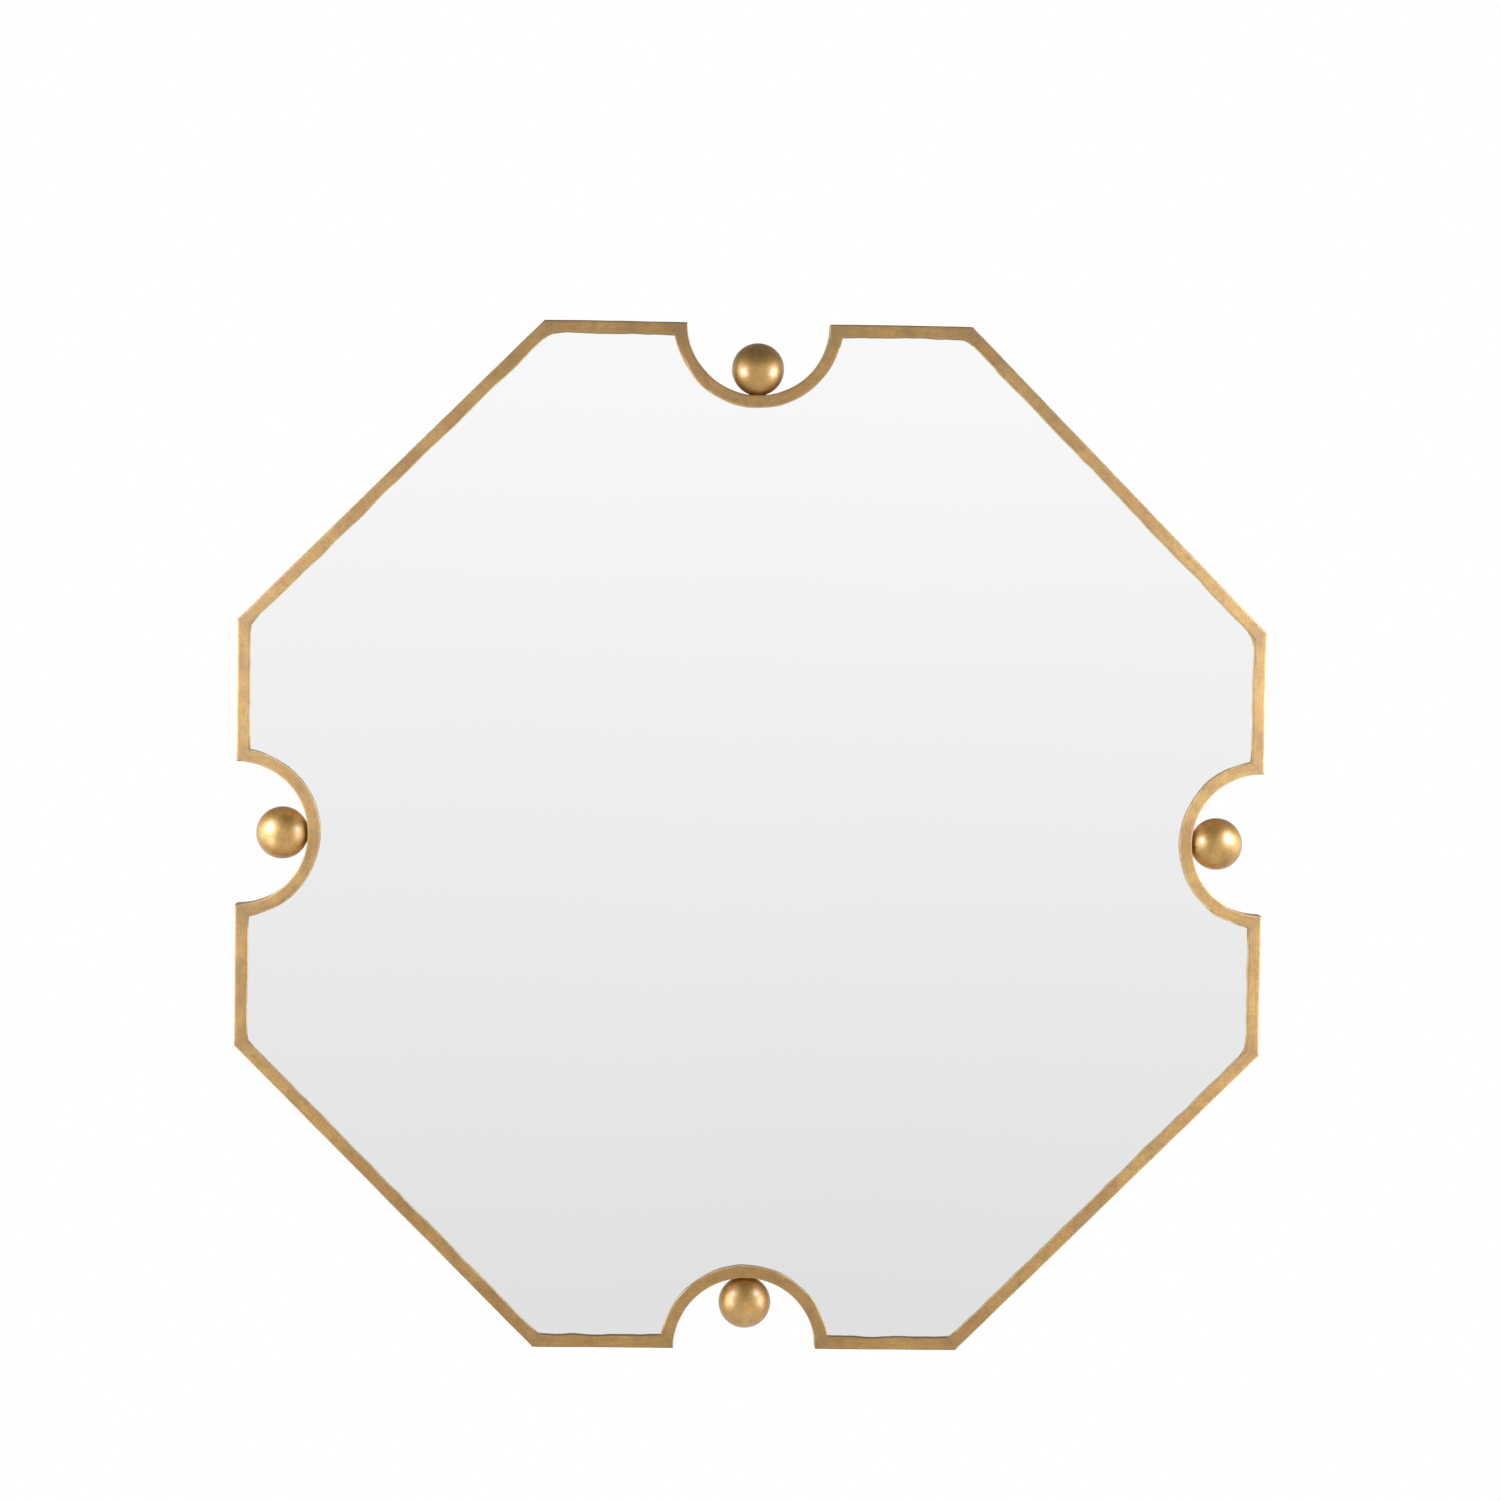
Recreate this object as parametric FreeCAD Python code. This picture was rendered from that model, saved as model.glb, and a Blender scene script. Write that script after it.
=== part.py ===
import FreeCAD
import Part

import math
import os

# An octagonal wall mirror. A gilded steel tube frame turns inwards in a half-round notch at the middle
# of its top, right, bottom and left sides, and a gilded hollow ball sits in each notch.
# The origin is on the wall plane at the mirror's centre, +Z is up, +X is to the viewer's right and
# +Y points into the wall, so the glass faces -Y. Sizes are millimetres.

# Frame tube
ACROSS_FLATS = 1000.0  # between opposite outer sides of the octagon
NOTCH_RADIUS = 69.5  # open edge of a notch, centred on the octagon's outer side
BAR_WIDTH = 13.0  # the band that shows from the front
BAR_DEPTH = 25.0  # front to back
BAR_WALL = 1.5
BAR_EDGE_RADIUS = 1.0

# Balls and the pins that carry them
BALL_DIAMETER = 50.8
BALL_WALL = 2.0
BALL_SEAT_GAP = 0.1  # weld gap between the ball and the notch
BALL_WALL_GAP = 2.1  # back of the ball to the wall
PIN_DIAMETER = 6.0
PIN_REACH = 12.0  # length of pin inside the ball
PIN_FIT = 0.05  # radial

# Glass, bonding tape and backing panel
GLASS_THICKNESS = 5.0
GLASS_RECESS = 3.0  # glass front behind the frame front
GLASS_GAP = 1.0  # glass edge to frame
TAPE_THICKNESS = 1.5
TAPE_WIDTH = 25.0
TAPE_STRIPS = 5
TAPE_EDGE_MARGIN = 20.0  # tape to the nearest glass edge
PANEL_THICKNESS = 9.0
PANEL_GAP = 1.5  # panel edge to frame

# Tabs welded inside the diagonal rails, behind the panel
TAB_WIDTH = 25.0
TAB_REACH = 20.0
TAB_THICKNESS = 2.0
TAB_CORNER_RADIUS = 4.0
TAB_SPACING = 200.0  # between the two tabs of one rail
TAB_HOLE_INSET = 11.0  # hole centre to the rail
TAB_HOLE_FIT = 0.25  # radial

# Pan-head screws
SCREW_DIAMETER = 4.0
SCREW_LENGTH = 8.0  # under the head
SCREW_POINT = 2.5
SCREW_HEAD_DIAMETER = 8.0
SCREW_HEAD_HEIGHT = 2.4
SCREW_HEAD_RIM = 0.9  # straight edge below the domed top
SCREW_FIT = 0.1  # radial, in the panel
SCREW_HOLE_SPARE = 0.5  # hole deeper than the screw
RECESS_LENGTH = 4.4
RECESS_WIDTH = 1.2
RECESS_DEPTH = 1.3

# D-ring hangers on the back of the panel
HANGER_SPACING = 520.0  # ring to ring
HANGER_HEIGHT = 230.0  # ring axis above the mirror's centre
STRAP_WIDTH = 20.0
STRAP_THICKNESS = 1.5
STRAP_END_RADIUS = 6.0
STRAP_END_MARGIN = 8.0  # last hole to the strap's end
STRAP_FIRST_SCREW = 13.0  # below the ring axis
STRAP_SCREW_PITCH = 25.0
RING_WIRE_DIAMETER = 4.0
RING_INNER_BEND = 1.0
RING_ARM = 6.0  # straight part of each side
RING_SIDE_CLEARANCE = 0.5  # straight leg past each end of the eye
RING_EYE_FIT = 0.2  # radial
RING_REST_GAP = 0.5  # ring to panel when it leans on the back

# Rubber bumpers between the frame and the wall
BUMPER_FOOT_DIAMETER = 12.0  # on the frame
BUMPER_TIP_DIAMETER = 10.0  # on the wall
BUMPER_TIP_RADIUS = 1.0

# Places worked out from the sizes above
V = FreeCAD.Vector
HALF = ACROSS_FLATS / 2
BALL_RADIUS = BALL_DIAMETER / 2
BALL_Y = -BALL_WALL_GAP - max(BALL_RADIUS, BAR_DEPTH / 2)
FRAME_REAR_Y = BALL_Y + BAR_DEPTH / 2  # the balls are centred on the tube
FRAME_FRONT_Y = FRAME_REAR_Y - BAR_DEPTH
GLASS_FRONT_Y = FRAME_FRONT_Y + GLASS_RECESS
TAPE_FRONT_Y = GLASS_FRONT_Y + GLASS_THICKNESS
PANEL_FRONT_Y = TAPE_FRONT_Y + TAPE_THICKNESS
PANEL_REAR_Y = PANEL_FRONT_Y + PANEL_THICKNESS
BALL_LOW_Z = HALF - NOTCH_RADIUS + BALL_SEAT_GAP
RING_WIRE_RADIUS = RING_WIRE_DIAMETER / 2
EYE_INNER_RADIUS = RING_WIRE_RADIUS + RING_EYE_FIT
EYE_OUTER_RADIUS = EYE_INNER_RADIUS + STRAP_THICKNESS
RING_AXIS_Y = PANEL_REAR_Y + EYE_OUTER_RADIUS

SIDES = ("top", "upper_right", "right", "lower_right", "bottom", "lower_left", "left", "upper_left")
SIDE_TURN = 360 / len(SIDES)
VERTEX_SLOPE = math.tan(math.radians(SIDE_TURN / 2))  # x over z on the ray through a corner
NOTCHED_SIDES = SIDES[0::2]
DIAGONAL_SIDES = SIDES[1::2]
# The two halves of each notched side, named as they lie once the top side is turned into place
HALF_NAMES = {
    "top": {-1: "left", 1: "right"},
    "right": {-1: "upper", 1: "lower"},
    "bottom": {-1: "right", 1: "left"},
    "left": {-1: "lower", 1: "upper"},
}
TAB_NAMES = {
    "upper_right": {-1: "high", 1: "low"},
    "lower_right": {-1: "high", 1: "low"},
    "lower_left": {-1: "low", 1: "high"},
    "upper_left": {-1: "low", 1: "high"},
}


# Helpers: everything on a side is drawn on the top side first, then turned about the mirror's centre
def turned(shape, side):
    """The top side's shape, turned clockwise as seen from the front to the named side."""
    copy = shape.copy()
    copy.rotate(V(0, 0, 0), V(0, 1, 0), SIDE_TURN * SIDES.index(side))
    return copy


def moved(shape, x, y, z):
    copy = shape.copy()
    copy.translate(V(x, y, z))
    return copy


def front_prism(points, front_y, rear_y):
    """A prism of the (x, z) outline between two depths."""
    wire = Part.makePolygon([V(x, front_y, z) for x, z in [*points, points[0]]])
    return Part.Face(wire).extrude(V(0, rear_y - front_y, 0))


def depth_cylinder(radius, front_y, rear_y, x=0, z=0):
    return Part.makeCylinder(radius, rear_y - front_y, V(x, front_y, z), V(0, 1, 0))


def mid_arc(start, middle, end):
    return Part.Arc(start, middle, end).toShape()


def line(start, end):
    return Part.LineSegment(start, end).toShape()


def rounded_rectangle(low_u, high_u, low_v, high_v, radius, place):
    """A closed rounded rectangle in (u, v), put in space by place(u, v)."""
    corners = [
        (high_u - radius, high_v - radius, 0),
        (low_u + radius, high_v - radius, 90),
        (low_u + radius, low_v + radius, 180),
        (high_u - radius, low_v + radius, 270),
    ]
    arcs = []
    for u, v, first in corners:
        angles = [math.radians(first + step) for step in (0, 45, 90)]
        arcs.append([place(u + radius * math.cos(a), v + radius * math.sin(a)) for a in angles])
    edges = []
    for index, arc in enumerate(arcs):
        edges.append(mid_arc(*arc))
        edges.append(line(arc[2], arcs[(index + 1) % len(arcs)][0]))
    return Part.Wire(edges)


# Frame bars: lengths of one rectangular tube, cut to mitres and welded
def tube_section(place):
    """The tube's wall as a face. place(inset, y) is a point that far inside the outer outline."""
    outer = rounded_rectangle(0, BAR_WIDTH, FRAME_FRONT_Y, FRAME_REAR_Y, BAR_EDGE_RADIUS, place)
    near, far = BAR_WALL, BAR_WIDTH - BAR_WALL
    front, rear = FRAME_FRONT_Y + BAR_WALL, FRAME_REAR_Y - BAR_WALL
    corners = [(near, front), (far, front), (far, rear), (near, rear), (near, front)]
    inner = Part.makePolygon([place(inset, y) for inset, y in corners])
    return Part.Face(outer).cut(Part.Face(inner)).Faces[0]


def straight_tube():
    section = tube_section(lambda inset, y: V(-HALF, y, HALF - inset))
    return section.extrude(V(ACROSS_FLATS, 0, 0))


def cut_to(tube, outline):
    """The stretch of tube inside an outline seen from the front."""
    return tube.common(front_prism(outline, FRAME_FRONT_Y - BAR_WALL, FRAME_REAR_Y + BAR_WALL))


NOTCH_INNER_X = math.sqrt((NOTCH_RADIUS + BAR_WIDTH) ** 2 - BAR_WIDTH**2)


def notch_mitre(steps):
    """A point on the joint between a rail and an arc: 0 is its outer corner and 1 its inner corner."""
    return NOTCH_RADIUS + steps * (NOTCH_INNER_X - NOTCH_RADIUS), HALF - steps * BAR_WIDTH


def diagonal_rail():
    tip = HALF + BAR_WIDTH
    return cut_to(straight_tube(), [(0, 0), (-tip * VERTEX_SLOPE, tip), (tip * VERTEX_SLOPE, tip)])


def half_rail(hand):
    """One of the two rails beside the top notch: hand is -1 on the left and 1 on the right."""
    above, below = notch_mitre(-1), notch_mitre(2)
    outline = [above, below, (below[1] * VERTEX_SLOPE, below[1]), (above[1] * VERTEX_SLOPE, above[1])]
    return cut_to(straight_tube(), [(hand * x, z) for x, z in outline])


def notch_arc():
    """The half-round bar of the top notch, drilled through for the ball's pin."""
    section = tube_section(lambda inset, y: V(NOTCH_RADIUS + inset, y, HALF))
    tube = section.revolve(V(0, 0, HALF), V(0, 1, 0), 180)
    end, side = notch_mitre(0), notch_mitre(2)
    right = [end, side, (side[0], HALF - NOTCH_RADIUS - 2 * BAR_WIDTH)]
    left = [(-x, z) for x, z in reversed(right)]
    return cut_to(tube, right + left).cut(pin_rod(PIN_DIAMETER / 2 + PIN_FIT))


# Balls
def pin_rod(radius):
    """A rod along the pin's axis, from below the top notch's bar to the pin's end inside the ball."""
    low = HALF - NOTCH_RADIUS - 2 * BAR_WIDTH
    return Part.makeCylinder(radius, BALL_LOW_Z + PIN_REACH - low, V(0, BALL_Y, low), V(0, 0, 1))


def ball():
    centre = V(0, BALL_Y, BALL_LOW_Z + BALL_RADIUS)
    shell = Part.makeSphere(BALL_RADIUS, centre).cut(Part.makeSphere(BALL_RADIUS - BALL_WALL, centre))
    return shell.cut(pin_rod(PIN_DIAMETER / 2 + PIN_FIT))


def ball_pin():
    """A pin dressed flush with the far side of the notch's bar."""
    flush = depth_cylinder(NOTCH_RADIUS + BAR_WIDTH, FRAME_FRONT_Y, FRAME_REAR_Y, 0, HALF)
    return pin_rod(PIN_DIAMETER / 2).common(flush)


# Glass, tape and panel share one outline, drawn at different insets
def notched_octagon(inset, y):
    """The frame's outer outline moved in by inset, with the notch arcs kept concentric."""
    top = HALF - inset
    radius = NOTCH_RADIUS + inset
    notch_x = math.sqrt(radius**2 - inset**2)
    left, right = V(-top * VERTEX_SLOPE, y, top), V(top * VERTEX_SLOPE, y, top)
    notch_left, notch_right = V(-notch_x, y, top), V(notch_x, y, top)
    notched = [
        line(left, notch_left),
        mid_arc(notch_left, V(0, y, HALF - radius), notch_right),
        line(notch_right, right),
    ]
    plain = [line(left, right)]
    edges = []
    for side in SIDES:
        drawn = notched if side in NOTCHED_SIDES else plain
        edges.extend(turned(edge, side) for edge in drawn)
    return Part.Face(Part.Wire(edges))


def mirror_glass():
    return notched_octagon(BAR_WIDTH + GLASS_GAP, GLASS_FRONT_Y).extrude(V(0, GLASS_THICKNESS, 0))


def tape_half_length(x):
    """How far a tape edge at x may run from the middle before it nears a glass edge."""
    inset = BAR_WIDTH + GLASS_GAP + TAPE_EDGE_MARGIN
    flat = HALF - inset
    diagonal = flat * math.sqrt(2) - abs(x)
    notch = NOTCH_RADIUS + inset
    below_notch = HALF - math.sqrt(max(notch**2 - x**2, 0))
    return min(flat, diagonal, below_notch)


def mounting_tape():
    furthest = HALF - NOTCH_RADIUS - BAR_WIDTH - GLASS_GAP - TAPE_EDGE_MARGIN - TAPE_WIDTH / 2
    strips = []
    for index in range(TAPE_STRIPS):
        x = furthest * (2 * index / (TAPE_STRIPS - 1) - 1)
        edges = [x - TAPE_WIDTH / 2, x, x + TAPE_WIDTH / 2]
        half_length = min(tape_half_length(edge) for edge in edges)
        corner = V(edges[0], TAPE_FRONT_Y, -half_length)
        strips.append(Part.makeBox(TAPE_WIDTH, TAPE_THICKNESS, 2 * half_length, corner))
    return Part.makeCompound(strips)


def backing_panel():
    panel = notched_octagon(BAR_WIDTH + PANEL_GAP, PANEL_FRONT_Y).extrude(V(0, PANEL_THICKNESS, 0))
    radius = SCREW_DIAMETER / 2 + SCREW_FIT
    seats = [(TAB_THICKNESS, tab_screw_places()), (STRAP_THICKNESS, hanger_screw_places())]
    for clamped, places in seats:
        bottom_y = PANEL_REAR_Y + clamped - SCREW_LENGTH - SCREW_HOLE_SPARE
        for x, z in places:
            panel = panel.cut(depth_cylinder(radius, bottom_y, PANEL_REAR_Y, x, z))
    return panel


# Tabs
def tab_hole(hand):
    """Centre of a tab's hole on the top side."""
    return hand * TAB_SPACING / 2, HALF - BAR_WIDTH - TAB_HOLE_INSET


def panel_tab(hand):
    x, hole_z = tab_hole(hand)
    rail_z = HALF - BAR_WIDTH
    low_x, high_x, low_z = x - TAB_WIDTH / 2, x + TAB_WIDTH / 2, rail_z - TAB_REACH
    radius = TAB_CORNER_RADIUS
    reach_wire = rounded_rectangle(
        low_x, high_x, low_z, rail_z + radius, radius, lambda u, v: V(u, PANEL_REAR_Y, v)
    )
    blank = Part.Face(reach_wire).extrude(V(0, TAB_THICKNESS, 0))
    below_rail = [(low_x, low_z), (high_x, low_z), (high_x, rail_z), (low_x, rail_z)]
    tab_rear_y = PANEL_REAR_Y + TAB_THICKNESS
    blank = blank.common(front_prism(below_rail, PANEL_REAR_Y, tab_rear_y))
    return blank.cut(depth_cylinder(SCREW_DIAMETER / 2 + TAB_HOLE_FIT, PANEL_REAR_Y, tab_rear_y, x, hole_z))


def tab_screw_places():
    places = []
    for side in DIAGONAL_SIDES:
        for hand in (-1, 1):
            x, z = tab_hole(hand)
            spot = turned(Part.Vertex(V(x, 0, z)), side)
            places.append((spot.X, spot.Z))
    return places


# Screws: drawn with the underside of the head at y = 0 and the shank towards -Y
def screw():
    shank, head = SCREW_DIAMETER / 2, SCREW_HEAD_DIAMETER / 2
    rise = SCREW_HEAD_HEIGHT - SCREW_HEAD_RIM
    dome = (head**2 + rise**2) / (2 * rise)
    centre_y = SCREW_HEAD_HEIGHT - dome
    half_angle = math.asin(head / dome) / 2
    dome_middle = V(dome * math.sin(half_angle), centre_y + dome * math.cos(half_angle), 0)
    top, rim = V(0, SCREW_HEAD_HEIGHT, 0), V(head, SCREW_HEAD_RIM, 0)
    tip = V(0, -SCREW_LENGTH, 0)
    corners = [rim, V(head, 0, 0), V(shank, 0, 0), V(shank, SCREW_POINT - SCREW_LENGTH, 0), tip, top]
    edges = [mid_arc(top, dome_middle, rim)]
    edges.extend(line(a, b) for a, b in zip(corners, corners[1:]))
    solid = Part.Face(Part.Wire(edges)).revolve(V(0, 0, 0), V(0, 1, 0), 360)
    floor_y = SCREW_HEAD_HEIGHT - RECESS_DEPTH
    for length_x, length_z in ((RECESS_LENGTH, RECESS_WIDTH), (RECESS_WIDTH, RECESS_LENGTH)):
        corner = V(-length_x / 2, floor_y, -length_z / 2)
        solid = solid.cut(Part.makeBox(length_x, 2 * RECESS_DEPTH, length_z, corner))
    return solid


def screws(places, seat_y):
    one = screw()
    return Part.makeCompound([moved(one, x, seat_y, z) for x, z in places])


# Hangers: drawn with the ring's axis along X through the origin
def strap_screw_drops():
    return [STRAP_FIRST_SCREW, STRAP_FIRST_SCREW + STRAP_SCREW_PITCH]


def hanger_strap():
    """A steel strap rolled into an eye at its top end, flat on the panel below it."""
    panel_y = -EYE_OUTER_RADIUS
    left, length = -STRAP_WIDTH / 2, strap_screw_drops()[-1] + STRAP_END_MARGIN
    flat_wire = rounded_rectangle(
        left, -left, -length, STRAP_END_RADIUS, STRAP_END_RADIUS, lambda u, v: V(u, panel_y, v)
    )
    flat = Part.Face(flat_wire).extrude(V(0, STRAP_THICKNESS, 0))
    flat = flat.cut(Part.makeBox(STRAP_WIDTH, STRAP_THICKNESS, STRAP_END_RADIUS, V(left, panel_y, 0)))
    for drop in strap_screw_drops():
        hole = SCREW_DIAMETER / 2 + TAB_HOLE_FIT
        flat = flat.cut(depth_cylinder(hole, panel_y, panel_y + STRAP_THICKNESS, 0, -drop))
    roll = Part.makeCylinder(EYE_OUTER_RADIUS, STRAP_WIDTH, V(left, 0, 0), V(1, 0, 0))
    eye = Part.makeCylinder(EYE_INNER_RADIUS, STRAP_WIDTH, V(left, 0, 0), V(1, 0, 0))
    return flat.fuse(roll).removeSplitter().cut(eye)


def hanger_ring():
    """A D-shaped wire ring, its straight leg in the strap's eye, leaning back until it nears the panel."""
    bend = RING_WIRE_RADIUS + RING_INNER_BEND
    leg = STRAP_WIDTH / 2 + RING_SIDE_CLEARANCE
    side = leg + bend
    shoulder = bend + RING_ARM
    corner = bend * math.sqrt(0.5)
    path = Part.Wire(
        [
            line(V(-leg, 0, 0), V(leg, 0, 0)),
            mid_arc(V(leg, 0, 0), V(leg + corner, 0, bend - corner), V(side, 0, bend)),
            line(V(side, 0, bend), V(side, 0, shoulder)),
            mid_arc(V(side, 0, shoulder), V(0, 0, shoulder + side), V(-side, 0, shoulder)),
            line(V(-side, 0, shoulder), V(-side, 0, bend)),
            mid_arc(V(-side, 0, bend), V(-leg - corner, 0, bend - corner), V(-leg, 0, 0)),
        ]
    )
    section = Part.Wire(Part.makeCircle(RING_WIRE_RADIUS, V(-leg, 0, 0), V(1, 0, 0)))
    ring = path.makePipeShell([section], True, False)
    spare = EYE_OUTER_RADIUS - RING_WIRE_RADIUS - RING_REST_GAP
    ring.rotate(V(0, 0, 0), V(1, 0, 0), math.degrees(math.asin(spare / (shoulder + side))))
    return ring


HANGER_X = {"left": -HANGER_SPACING / 2, "right": HANGER_SPACING / 2}


def hanger_screw_places():
    return [(x, HANGER_HEIGHT - drop) for x in HANGER_X.values() for drop in strap_screw_drops()]


def wall_bumpers():
    """Tapered rubber bumpers behind the diagonal rails, as tall as the gap that the balls need."""
    foot = V(0, FRAME_REAR_Y, HALF - BAR_WIDTH / 2)
    foot_radius, tip_radius = BUMPER_FOOT_DIAMETER / 2, BUMPER_TIP_DIAMETER / 2
    bumper = Part.makeCone(foot_radius, tip_radius, -FRAME_REAR_Y, foot, V(0, 1, 0))
    tip_edges = [edge for edge in bumper.Edges if edge.BoundBox.YMin > FRAME_REAR_Y / 2]
    bumper = bumper.makeFillet(BUMPER_TIP_RADIUS, tip_edges)
    return Part.makeCompound([turned(bumper, side) for side in DIAGONAL_SIDES])


# Assembly: every piece under its node's name
def assembly():
    nodes = {}
    for side in NOTCHED_SIDES:
        for hand, half in HALF_NAMES[side].items():
            nodes[f"{side}_rail_{half}"] = turned(half_rail(hand), side)
        nodes[f"{side}_notch_arc"] = turned(notch_arc(), side)
        nodes[f"{side}_ball"] = turned(ball(), side)
    for side in DIAGONAL_SIDES:
        nodes[f"{side}_rail"] = turned(diagonal_rail(), side)
        for hand, place in TAB_NAMES[side].items():
            nodes[f"{side}_panel_tab_{place}"] = turned(panel_tab(hand), side)
    nodes["ball_pins"] = Part.makeCompound([turned(ball_pin(), side) for side in NOTCHED_SIDES])
    nodes["mirror_glass"] = mirror_glass()
    nodes["mounting_tape"] = mounting_tape()
    nodes["backing_panel"] = backing_panel()
    nodes["tab_screws"] = screws(tab_screw_places(), PANEL_REAR_Y + TAB_THICKNESS)
    for name, x in HANGER_X.items():
        nodes[f"{name}_hanger_strap"] = moved(hanger_strap(), x, RING_AXIS_Y, HANGER_HEIGHT)
        nodes[f"{name}_hanger_ring"] = moved(hanger_ring(), x, RING_AXIS_Y, HANGER_HEIGHT)
    nodes["hanger_screws"] = screws(hanger_screw_places(), PANEL_REAR_Y + STRAP_THICKNESS)
    nodes["wall_bumpers"] = wall_bumpers()
    return nodes


os.makedirs("parts", exist_ok=True)
for name, shape in assembly().items():
    shape.exportStep(f"parts/{name}.step")
    print(f"{name}: {len(shape.Solids)} solid, {shape.Volume / 1000:.2f} cm3, valid {shape.isValid()}")
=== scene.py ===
# %% [markdown]
# # An octagonal wall mirror in antiqued gold leaf
#
# The mirror is a sheet of silvered glass in a narrow welded tube frame. The frame turns inwards in a
# half-round notch at the middle of four sides, and a hollow ball sits in each notch. All of it was gilded
# after welding, so the gold runs over the joints without a seam. This lesson loads the measured solids as a
# fixed frame, models a dressed piece over each one, and lights the result like a catalogue picture.

import math

import bmesh
import bpy
from mathutils import Euler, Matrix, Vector


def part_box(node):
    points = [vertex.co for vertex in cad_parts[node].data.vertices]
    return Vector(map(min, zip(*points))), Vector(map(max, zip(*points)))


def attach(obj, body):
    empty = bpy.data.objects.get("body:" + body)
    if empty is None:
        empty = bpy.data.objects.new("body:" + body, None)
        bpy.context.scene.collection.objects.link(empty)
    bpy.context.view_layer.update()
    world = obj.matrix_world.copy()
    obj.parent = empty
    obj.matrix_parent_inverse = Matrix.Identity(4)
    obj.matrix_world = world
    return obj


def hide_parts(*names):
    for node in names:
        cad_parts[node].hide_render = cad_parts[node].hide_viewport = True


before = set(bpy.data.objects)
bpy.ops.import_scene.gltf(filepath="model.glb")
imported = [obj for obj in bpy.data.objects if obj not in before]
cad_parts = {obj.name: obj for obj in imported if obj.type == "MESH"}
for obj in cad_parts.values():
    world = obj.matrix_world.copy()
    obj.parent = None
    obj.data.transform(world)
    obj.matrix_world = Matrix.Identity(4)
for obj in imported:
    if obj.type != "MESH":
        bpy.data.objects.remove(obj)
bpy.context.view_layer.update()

# %% [markdown]
# Every size below is read from the solids, so that the dressed pieces land on them. The top side is the
# pattern side: its rail gives the bar's width and depth, its arc gives the notch, and the other sides are
# the same shapes turned about the mirror's middle.

# %% Read the sizes from the solids
MM = 0.001
rail_low, rail_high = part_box("top_rail_left")
HALF = rail_high.z
BAR_WIDTH = rail_high.z - rail_low.z
FRONT_Y, REAR_Y = rail_low.y, rail_high.y
BAR_DEPTH = REAR_Y - FRONT_Y
MIDDLE_Y = (FRONT_Y + REAR_Y) / 2
NOTCH_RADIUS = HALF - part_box("top_notch_arc")[0].z - BAR_WIDTH
ball_low, ball_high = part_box("top_ball")
BALL_RADIUS = (ball_high.x - ball_low.x) / 2
BALL_CENTRE = Vector((0, (ball_low.y + ball_high.y) / 2, (ball_low.z + ball_high.z) / 2))
SIDES = ("top", "upper_right", "right", "lower_right", "bottom", "lower_left", "left", "upper_left")
DIAGONALS = SIDES[1::2]
SIDE_TURN = math.tau / len(SIDES)
TURN = {side: SIDE_TURN * number for number, side in enumerate(SIDES)}
print(f"bar {BAR_WIDTH / MM:.1f} mm wide and {BAR_DEPTH / MM:.1f} mm deep")
print(f"notch radius {NOTCH_RADIUS / MM:.1f} mm, ball radius {BALL_RADIUS / MM:.1f} mm")

# %% [markdown]
# Modelling by script keeps the habits of modelling by hand: one object active, nothing else selected, edit
# mode for shaping, and selections made by where an edge or face lies. A modifier is always applied, so that
# the mesh itself is the finished shape.

# %% Work on one piece at a time
def nothing_selected():
    if bpy.context.object and bpy.context.object.mode != "OBJECT":
        bpy.ops.object.mode_set(mode="OBJECT")
    bpy.ops.object.select_all(action="DESELECT")


def only(piece):
    nothing_selected()
    piece.select_set(True)
    bpy.context.view_layer.objects.active = piece


def settle(piece):
    """Put a piece's place, turn and scale into its mesh."""
    only(piece)
    bpy.ops.object.transform_apply(location=True, rotation=True, scale=True)
    return piece


def new_piece(name, scale=(1, 1, 1)):
    """Name the primitive that was just added, and settle it at its size."""
    piece = bpy.context.object
    piece.name = piece.data.name = name
    piece.scale = scale
    return settle(piece)


# %% Shape a piece in edit mode
def shape(piece):
    """Go into edit mode on one piece with everything selected."""
    only(piece)
    bpy.ops.object.mode_set(mode="EDIT")
    bpy.ops.mesh.select_mode(type="VERT")
    bpy.ops.mesh.select_all(action="SELECT")


def pick(piece, kind, test):
    """Select the edges or faces that pass the test."""
    bpy.ops.mesh.select_mode(type=kind)
    mesh = bmesh.from_edit_mesh(piece.data)
    for item in mesh.edges if kind == "EDGE" else mesh.faces:
        item.select_set(test(item))
    mesh.select_flush_mode()
    bmesh.update_edit_mesh(piece.data)


def draw_out(*by):
    """Extrude what is selected."""
    bpy.ops.mesh.extrude_region_move(TRANSFORM_OT_translate={"value": by})


# %% Finish, copy, turn and attach
SAME_POINT = 0.005 * MM
SMOOTH_UP_TO = math.radians(35)


def close_up(piece):
    """Merge doubled points and turn every face outwards."""
    shape(piece)
    bpy.ops.mesh.remove_doubles(threshold=SAME_POINT)
    bpy.ops.mesh.normals_make_consistent(inside=False)
    bpy.ops.object.mode_set(mode="OBJECT")


def add_modifier(piece, kind, **settings):
    only(piece)
    modifier = piece.modifiers.new(kind.lower(), kind)
    for name, value in settings.items():
        setattr(modifier, name, value)
    bpy.ops.object.modifier_apply(modifier=modifier.name)


def smooth(piece, *materials):
    """Shade a piece smooth, and give it its materials."""
    only(piece)
    bpy.ops.object.shade_smooth_by_angle(angle=SMOOTH_UP_TO)
    for material in materials:
        piece.data.materials.append(material)


def copy_of(piece, name):
    twin = piece.copy()
    twin.data = piece.data.copy()
    twin.name = twin.data.name = name
    bpy.context.scene.collection.objects.link(twin)
    return twin


def turned_to(piece, side):
    """Turn a piece that was modelled on the top side round to another side."""
    piece.rotation_euler = (0, TURN[side], 0)
    return settle(piece)


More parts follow.
